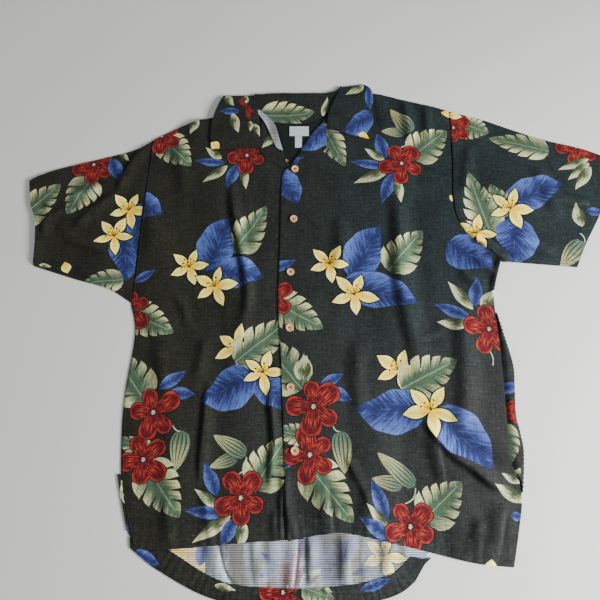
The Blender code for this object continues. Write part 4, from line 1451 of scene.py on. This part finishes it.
def make_lapel(name, node, rows, roll_at, inner_edge=None):
    """A lapel, rolled over at the neck; of one of them the pale inside of the roll shows too."""
    spans, base, _ = trace(node, 0.010, 40.0, 0.003)
    roll = nearest_span(spans, *roll_at)

    def height(places):
        return curled(places, base(places), [roll], 4.6 * MM, 4.0 * MM)

    outer = cut(closed(spans), draw_print(rows), 0.004, rows_along([roll]))
    parts = [(outer, on_top(height), False)]
    turned_back = 0.0
    if inner_edge:
        inner = closed([through(side, 0.003) for side in inner_edge])
        turned_back = abs(ring_area(inner))
        parts.append((cut(inner, [], 0.003), on_top(lambda p: 0 * p[:, 0] + INNER_LEVEL), True))
    printed_piece(name, node, parts, closed(spans), BOTH_FRONTS, turned_back=turned_back)
    return height


pale_edge = (((-0.0173, 0.2778), (-0.0240, 0.3017), (-0.0315, 0.3302), (-0.0445, 0.3477), (-0.0606, 0.3631)),
             ((-0.0606, 0.3631), (-0.0689, 0.3634)),
             ((-0.0689, 0.3634), (-0.0500, 0.3345), (-0.0365, 0.3015), (-0.0286, 0.2840), (-0.0173, 0.2778)))
height_lapel = make_lapel("lapel_right", "facing_right", LAPEL_RIGHT, (-0.018, 0.285), pale_edge)
make_lapel("lapel_left", "facing_left", LAPEL_LEFT, (0.017, 0.287))


# %% Plain pieces on the yoke
def label_finish():
    """A dense satin ribbon, finer and shinier than the shirt's cloth."""
    paint = Paint("label_ribbon")
    rows = paint.noise(paint.cloth_map("cloth"), (300.0, 2400.0, 1.0), 1.0)
    return paint.finish(Base_Color=paint.blend(rows, linear(172, 184, 194), linear(206, 214, 220)),
                        Roughness=0.5, Normal=paint.bump(rows, 0.1 * MM, 0.6), Sheen_Weight=0.1,
                        Specular_IOR_Level=0.4)


def plain_sheet(name, node, finish, slot, spacing, lift=0.0):
    """A sheet of one finish on both sides."""
    spans, base, _ = trace(node, 0.012, 40.0, 0.004)
    piece = lay(name, [(cut(closed(spans), [], spacing), on_top(lambda p: base(p) + lift), False)])
    piece.data.materials.clear()
    piece.data.materials.append(finish)
    thicken(piece, THIN, 0)
    hand_in(piece, slot, node, closed(spans), ["back_cloth"])


lining = cloth_finish(Paint("yoke_lining"), linear(20, 29, 27), 0.28)
plain_sheet("yoke_lining_sheet", "yoke_lining", lining, "yoke_lining_cloth", 0.008)
ribbon = label_finish()
plain_sheet("neck_label_ribbon", "neck_label", ribbon, "woven_label", 0.003, 0.4 * MM)
plain_sheet("size_label_ribbon", "size_label", ribbon, "woven_label", 0.003)

# %% [markdown]
# ## The rolled side
# By the wearer's left hip the back rolls round the side and shows its printed face up to the front's side
# seam. The strip is laid over the frame's own strip.

# %% Side roll
# Height up the side, how far out the roll reaches.
ROLL_OUTER = ((-0.304, 0.3478), (-0.277, 0.3512), (-0.241, 0.3549), (-0.214, 0.3525), (-0.188, 0.3492),
              (-0.150, 0.3517), (-0.116, 0.3541), (-0.087, 0.3502), (-0.058, 0.3446), (-0.022, 0.3380))
ROLL_RADIUS = 2.2 * MM
ROLL_BEND = 0.25
ROLL_FLOOR = 0.55 * MM
side_l = curls_l[0]
roll_line = through(ROLL_OUTER, 0.004)


def roll_gap(height):
    """How far the roll stands out from the front's side seam, and where that seam is."""
    up = np.argsort(side_l[:, 1])
    seam = np.interp(height, side_l[up, 1], side_l[up, 0]) + 0.4 * MM
    return np.maximum(np.interp(height, *roll_line.T) - seam, 2.0 * MM), seam


def roll_width(height):
    """How wide the strip is cut at each height up the side."""
    return roll_gap(height)[0] + (math.pi / 2 - 0.4) * ROLL_RADIUS


def on_roll(flat):
    """Bends the flat strip into a half round at its outer side: u runs across, v up the side."""
    gap, seam = roll_gap(flat[:, 1])
    radius = np.minimum(ROLL_RADIUS, gap * 0.45)
    part = flat[:, 0] / roll_width(flat[:, 1])
    angle = (np.clip(part / ROLL_BEND, 0, 1) - 0.5) * math.pi
    inward = np.clip((part - ROLL_BEND) / (1 - ROLL_BEND), 0, 1)
    x = seam + gap - radius + radius * np.cos(angle) - (gap - radius) * inward
    puff = 0.9 * MM * np.sin(math.pi * inward) * (1 + 0.6 * np.sin(flat[:, 1] * 210))
    z = ROLL_FLOOR + radius + radius * np.sin(angle) + puff
    z -= smooth_step(inward, 0.55, 1.0) * (2 * radius + ROLL_FLOOR - BACK_TOP)
    return np.column_stack((x, flat[:, 1], z))


roll_rise = np.linspace(ROLL_OUTER[0][0], ROLL_OUTER[-1][0], 60)
roll_ring = np.vstack((np.column_stack((roll_width(roll_rise), roll_rise)),
                       np.column_stack((0 * roll_rise, roll_rise))[::-1]))
roll_part = cut(roll_ring, draw_print(SIDE_ROLL), 0.0035)
printed_piece("side_roll_cloth", "back_side_roll", [(roll_part, on_roll, True)], roll_ring, ["back_cloth"],
              wall=(THIN,), held="folded")

# %% [markdown]
# ## Stitches
# Every seam on show is sewn with dark thread. A stitch is a short grain of thread, half sunk in
# the cloth, and all the stitches are one mesh.

# %% Sew
STITCH = 2.3 * MM
STITCH_PITCH = 3.3 * MM
STITCH_RADIUS = 0.26 * MM


def stitch_row(line, height):
    """The points and faces of one row of stitches along a line on a surface."""
    fine = through(line[::3], STITCH_PITCH / 2)
    centres = fine[2:-2:2]
    ways = direction(fine)[2:-2:2]
    z = height(centres) + 0.05 * MM
    points = []
    faces = []
    for (x, y), (dx, dy), level in zip(centres, ways, z):
        start = len(points)
        points.append((x - dx * STITCH / 2, y - dy * STITCH / 2, level - STITCH_RADIUS))
        for end in (-0.28, 0.28):
            for side, up in ((-1, 0), (0, -1), (1, 0), (0, 1)):
                points.append((x + dx * STITCH * end - dy * STITCH_RADIUS * side,
                               y + dy * STITCH * end + dx * STITCH_RADIUS * side, level + STITCH_RADIUS * up))
        points.append((x + dx * STITCH / 2, y + dy * STITCH / 2, level - STITCH_RADIUS))
        for k in range(4):
            n = (k + 1) % 4
            faces += [(start, start + 1 + n, start + 1 + k),
                      (start + 1 + k, start + 1 + n, start + 5 + n, start + 5 + k),
                      (start + 9, start + 5 + k, start + 5 + n)]
    return points, faces


def sew(name, rows):
    points = []
    faces = []
    for line, height in rows:
        more, cells = stitch_row(line, height)
        faces += [tuple(k + len(points) for k in cell) for cell in cells]
        points += more
    mesh = bpy.data.meshes.new(name)
    mesh.from_pydata(points, [], faces)
    reworked(mesh, lambda m: bmesh.ops.recalc_face_normals(m, faces=m.faces))
    mesh.shade_smooth()
    paint = Paint(name)
    twist = paint.noise(paint.own_place(), (1500.0, 1500.0, 1500.0), 1.0)
    mesh.materials.append(paint.finish(Base_Color=paint.blend(twist, linear(22, 26, 27), linear(66, 72, 72)),
                                       Roughness=0.5, Sheen_Weight=0.1))
    thread = new_object(name, mesh)
    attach(thread, "root")
    print(name, len(faces), "faces")


sew("seam_thread", [
    (stitch_r, height_r), (stitch_l, height_over_placket),
    (placket_stitch, height_over_placket),
    (cuff_stitch_r, height_sr), (cuff_stitch_l, height_sl),
    (shifted(arm_l, 0.004), height_l), (shifted(arm_l, 0.010), height_l),
    (shifted(seams_r[0], 0.004), height_r),
    (shifted(curls_l[0], 0.006), height_l),
])

# %% [markdown]
# ## Buttons
# Six round wooden buttons with a dished middle and four holes, sewn on with a cross of thread, and one
# small gilt button that keeps the collar. One is modelled and copied: a drum, its top inset
# and sunk, its edges rounded, its holes drilled.

# %% Model one button
def cylinder(corners, radius, depth, x, y, z, **turned):
    """A cylinder about a point, the only thing selected."""
    bpy.ops.object.select_all(action="DESELECT")
    bpy.ops.mesh.primitive_cylinder_add(vertices=corners, radius=radius, depth=depth, location=(x, y, z),
                                        **turned)
    return bpy.context.object


def turn_button(name, radius, depth, hole, place):
    """A four-hole button at a place; its underside is at the place's height."""
    made = cylinder(40, radius, depth, place[0], place[1], place[2] + depth / 2)
    made.name = name
    bpy.ops.object.transform_apply(location=True, rotation=False, scale=False)
    bpy.ops.object.mode_set(mode="EDIT")
    bpy.ops.mesh.select_mode(type="FACE")
    bpy.ops.mesh.select_all(action="DESELECT")
    cage = bmesh.from_edit_mesh(made.data)
    for face in cage.faces:
        face.select_set(face.normal.z > 0.9)
    bmesh.update_edit_mesh(made.data)
    bpy.ops.mesh.inset(thickness=0.26 * radius)
    bpy.ops.mesh.inset(thickness=0.12 * radius, depth=-0.26 * depth)
    bpy.ops.mesh.inset(thickness=0.16 * radius, depth=-0.06 * depth)
    bpy.ops.object.mode_set(mode="OBJECT")
    round_off = made.modifiers.new("rounded", "BEVEL")
    round_off.width = 0.16 * depth
    round_off.segments = 3
    round_off.limit_method = "ANGLE"
    round_off.angle_limit = math.radians(40)
    only(made)
    bpy.ops.object.modifier_apply(modifier=round_off.name)
    for number in range(4):
        angle = math.radians(45 + 90 * number)
        drill = cylinder(14, hole, 3 * depth, place[0] + 0.27 * radius * math.cos(angle),
                         place[1] + 0.27 * radius * math.sin(angle), place[2] + depth / 2)
        only(made)
        bore = made.modifiers.new("hole", "BOOLEAN")
        bore.operation = "DIFFERENCE"
        bore.object = drill
        bpy.ops.object.modifier_apply(modifier=bore.name)
        bpy.data.objects.remove(drill)
    only(made)
    bpy.ops.object.shade_smooth_by_angle(angle=math.radians(35))
    return made


def thread_cross(name, radius, depth, place):
    """Two strands of thread that cross between the four holes."""
    strands = []
    for turn in (45, 135):
        strand = cylinder(10, 0.075 * radius, 0.62 * radius, place[0], place[1], place[2] + 0.76 * depth,
                          rotation=(math.radians(90), 0.0, math.radians(turn)))
        bpy.ops.object.mode_set(mode="EDIT")
        bpy.ops.mesh.select_all(action="SELECT")
        bpy.ops.mesh.subdivide(number_cuts=2)
        bpy.ops.mesh.bevel(offset=0.02 * radius, segments=2)
        bpy.ops.object.mode_set(mode="OBJECT")
        bpy.ops.object.transform_apply(location=True, rotation=True, scale=True)
        strands.append(strand)
    bpy.ops.object.select_all(action="DESELECT")
    for strand in strands:
        strand.select_set(True)
    bpy.context.view_layer.objects.active = strands[0]
    bpy.ops.object.join()
    bpy.ops.object.shade_smooth_by_angle(angle=math.radians(40))
    cross = bpy.context.object
    cross.name = name
    return cross


# %% Wood, gilt and thread
def wood_finish():
    """Pale wood with fine curved grain and soft darker patches."""
    paint = Paint("button_wood_finish")
    place = paint.own_place()
    grain = paint.noise(place, (260.0, 1500.0, 400.0), 3.0)
    soft = paint.noise(place, (90.0, 120.0, 90.0))
    colour = paint.blend(paint.ramp(grain, 0.35, 0.68), linear(232, 196, 142), linear(198, 150, 96))
    colour = paint.blend(paint.ramp(soft, 0.45, 0.75) * 0.4, colour, linear(150, 96, 54))
    return paint.finish(Base_Color=colour, Roughness=grain * 0.15 + 0.34,
                        Normal=paint.bump(grain, 0.06 * MM, 0.5))


def gilt_finish():
    paint = Paint("collar_button_gilt")
    wear = paint.noise(paint.own_place(), (700.0, 700.0, 700.0), 3.0)
    colour = paint.blend(paint.ramp(wear, 0.4, 0.7), linear(212, 172, 92), linear(158, 116, 58))
    return paint.finish(Base_Color=colour, Roughness=wear * 0.25 + 0.18, Metallic=1.0)


def thread_finish():
    paint = Paint("button_thread")
    twist = paint.noise(paint.own_place(), (2200.0, 2200.0, 2200.0), 1.0)
    colour = paint.blend(twist, linear(140, 98, 62), linear(176, 132, 90))
    return paint.finish(Base_Color=colour, Roughness=0.6)


# %% Place the buttons
wood, gilt, strand_finish = wood_finish(), gilt_finish(), thread_finish()


def button_seat(node, height):
    """A button's middle, radius and depth in the frame, and the level of the cloth that it sits on."""
    low, high = (Vector(corner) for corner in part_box(node))
    middle = (low + high) / 2
    radius = (high.x - low.x) / 2
    around = np.array([(middle.x + radius * math.cos(a), middle.y + radius * math.sin(a))
                       for a in np.linspace(0, 6, 12)])
    seat = max(float(height(around).max()) + 0.15 * MM, low.z - 0.6 * MM)
    return middle, radius, high.z - low.z, seat


def copy_to(source, name, shift):
    """A copy with its own mesh, whose place is in the mesh."""
    made = source.copy()
    made.data = source.data.copy()
    made.name = name
    made.data.transform(Matrix.Translation(shift))
    bpy.context.scene.collection.objects.link(made)
    return made


def sewn_button(node, height, name, thread_name, hole, finish):
    """A button and its thread, at the place that the frame has for it."""
    middle, radius, depth, seat = button_seat(node, height)
    place = (middle.x, middle.y, seat)
    button = turn_button(name, radius, depth, hole, place)
    button.data.materials.append(finish)
    cross = thread_cross(thread_name, radius, depth, place)
    cross.data.materials.append(strand_finish)
    return button, cross, node, place


pattern, cross, _, first = sewn_button("button_1", height_over_placket, "wood_button_1", "button_thread_1",
                                       0.9 * MM, wood)
buttons = [(pattern, cross, "button_1")]
for number in range(2, 7):
    middle, _, _, seat = button_seat(f"button_{number}", height_over_placket)
    shift = Vector((middle.x, middle.y, seat)) - Vector(first)
    buttons.append((copy_to(pattern, f"wood_button_{number}", shift),
                    copy_to(cross, f"button_thread_{number}", shift), f"button_{number}"))
buttons.append(sewn_button("collar_button", height_lapel, "gilt_button", "gilt_button_thread",
                           0.4 * MM, gilt)[:3])
for button, thread, node in buttons:
    slot = "collar_button_brass" if node == "collar_button" else "button_wood"
    for piece in (button, thread):
        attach(piece, "root")
    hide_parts(node)
    print(button.name, "at", tuple(round(c, 4) for c in button.data.vertices[0].co))

# %% Floor finish and closing
ground = Paint("studio_floor")
cast = ground.noise(ground.own_place(), (3.0, 3.0, 3.0))
floor.data.materials.append(ground.finish(
    Base_Color=ground.blend(cast, (0.72, 0.72, 0.71), (0.76, 0.76, 0.755)), Roughness=0.85))
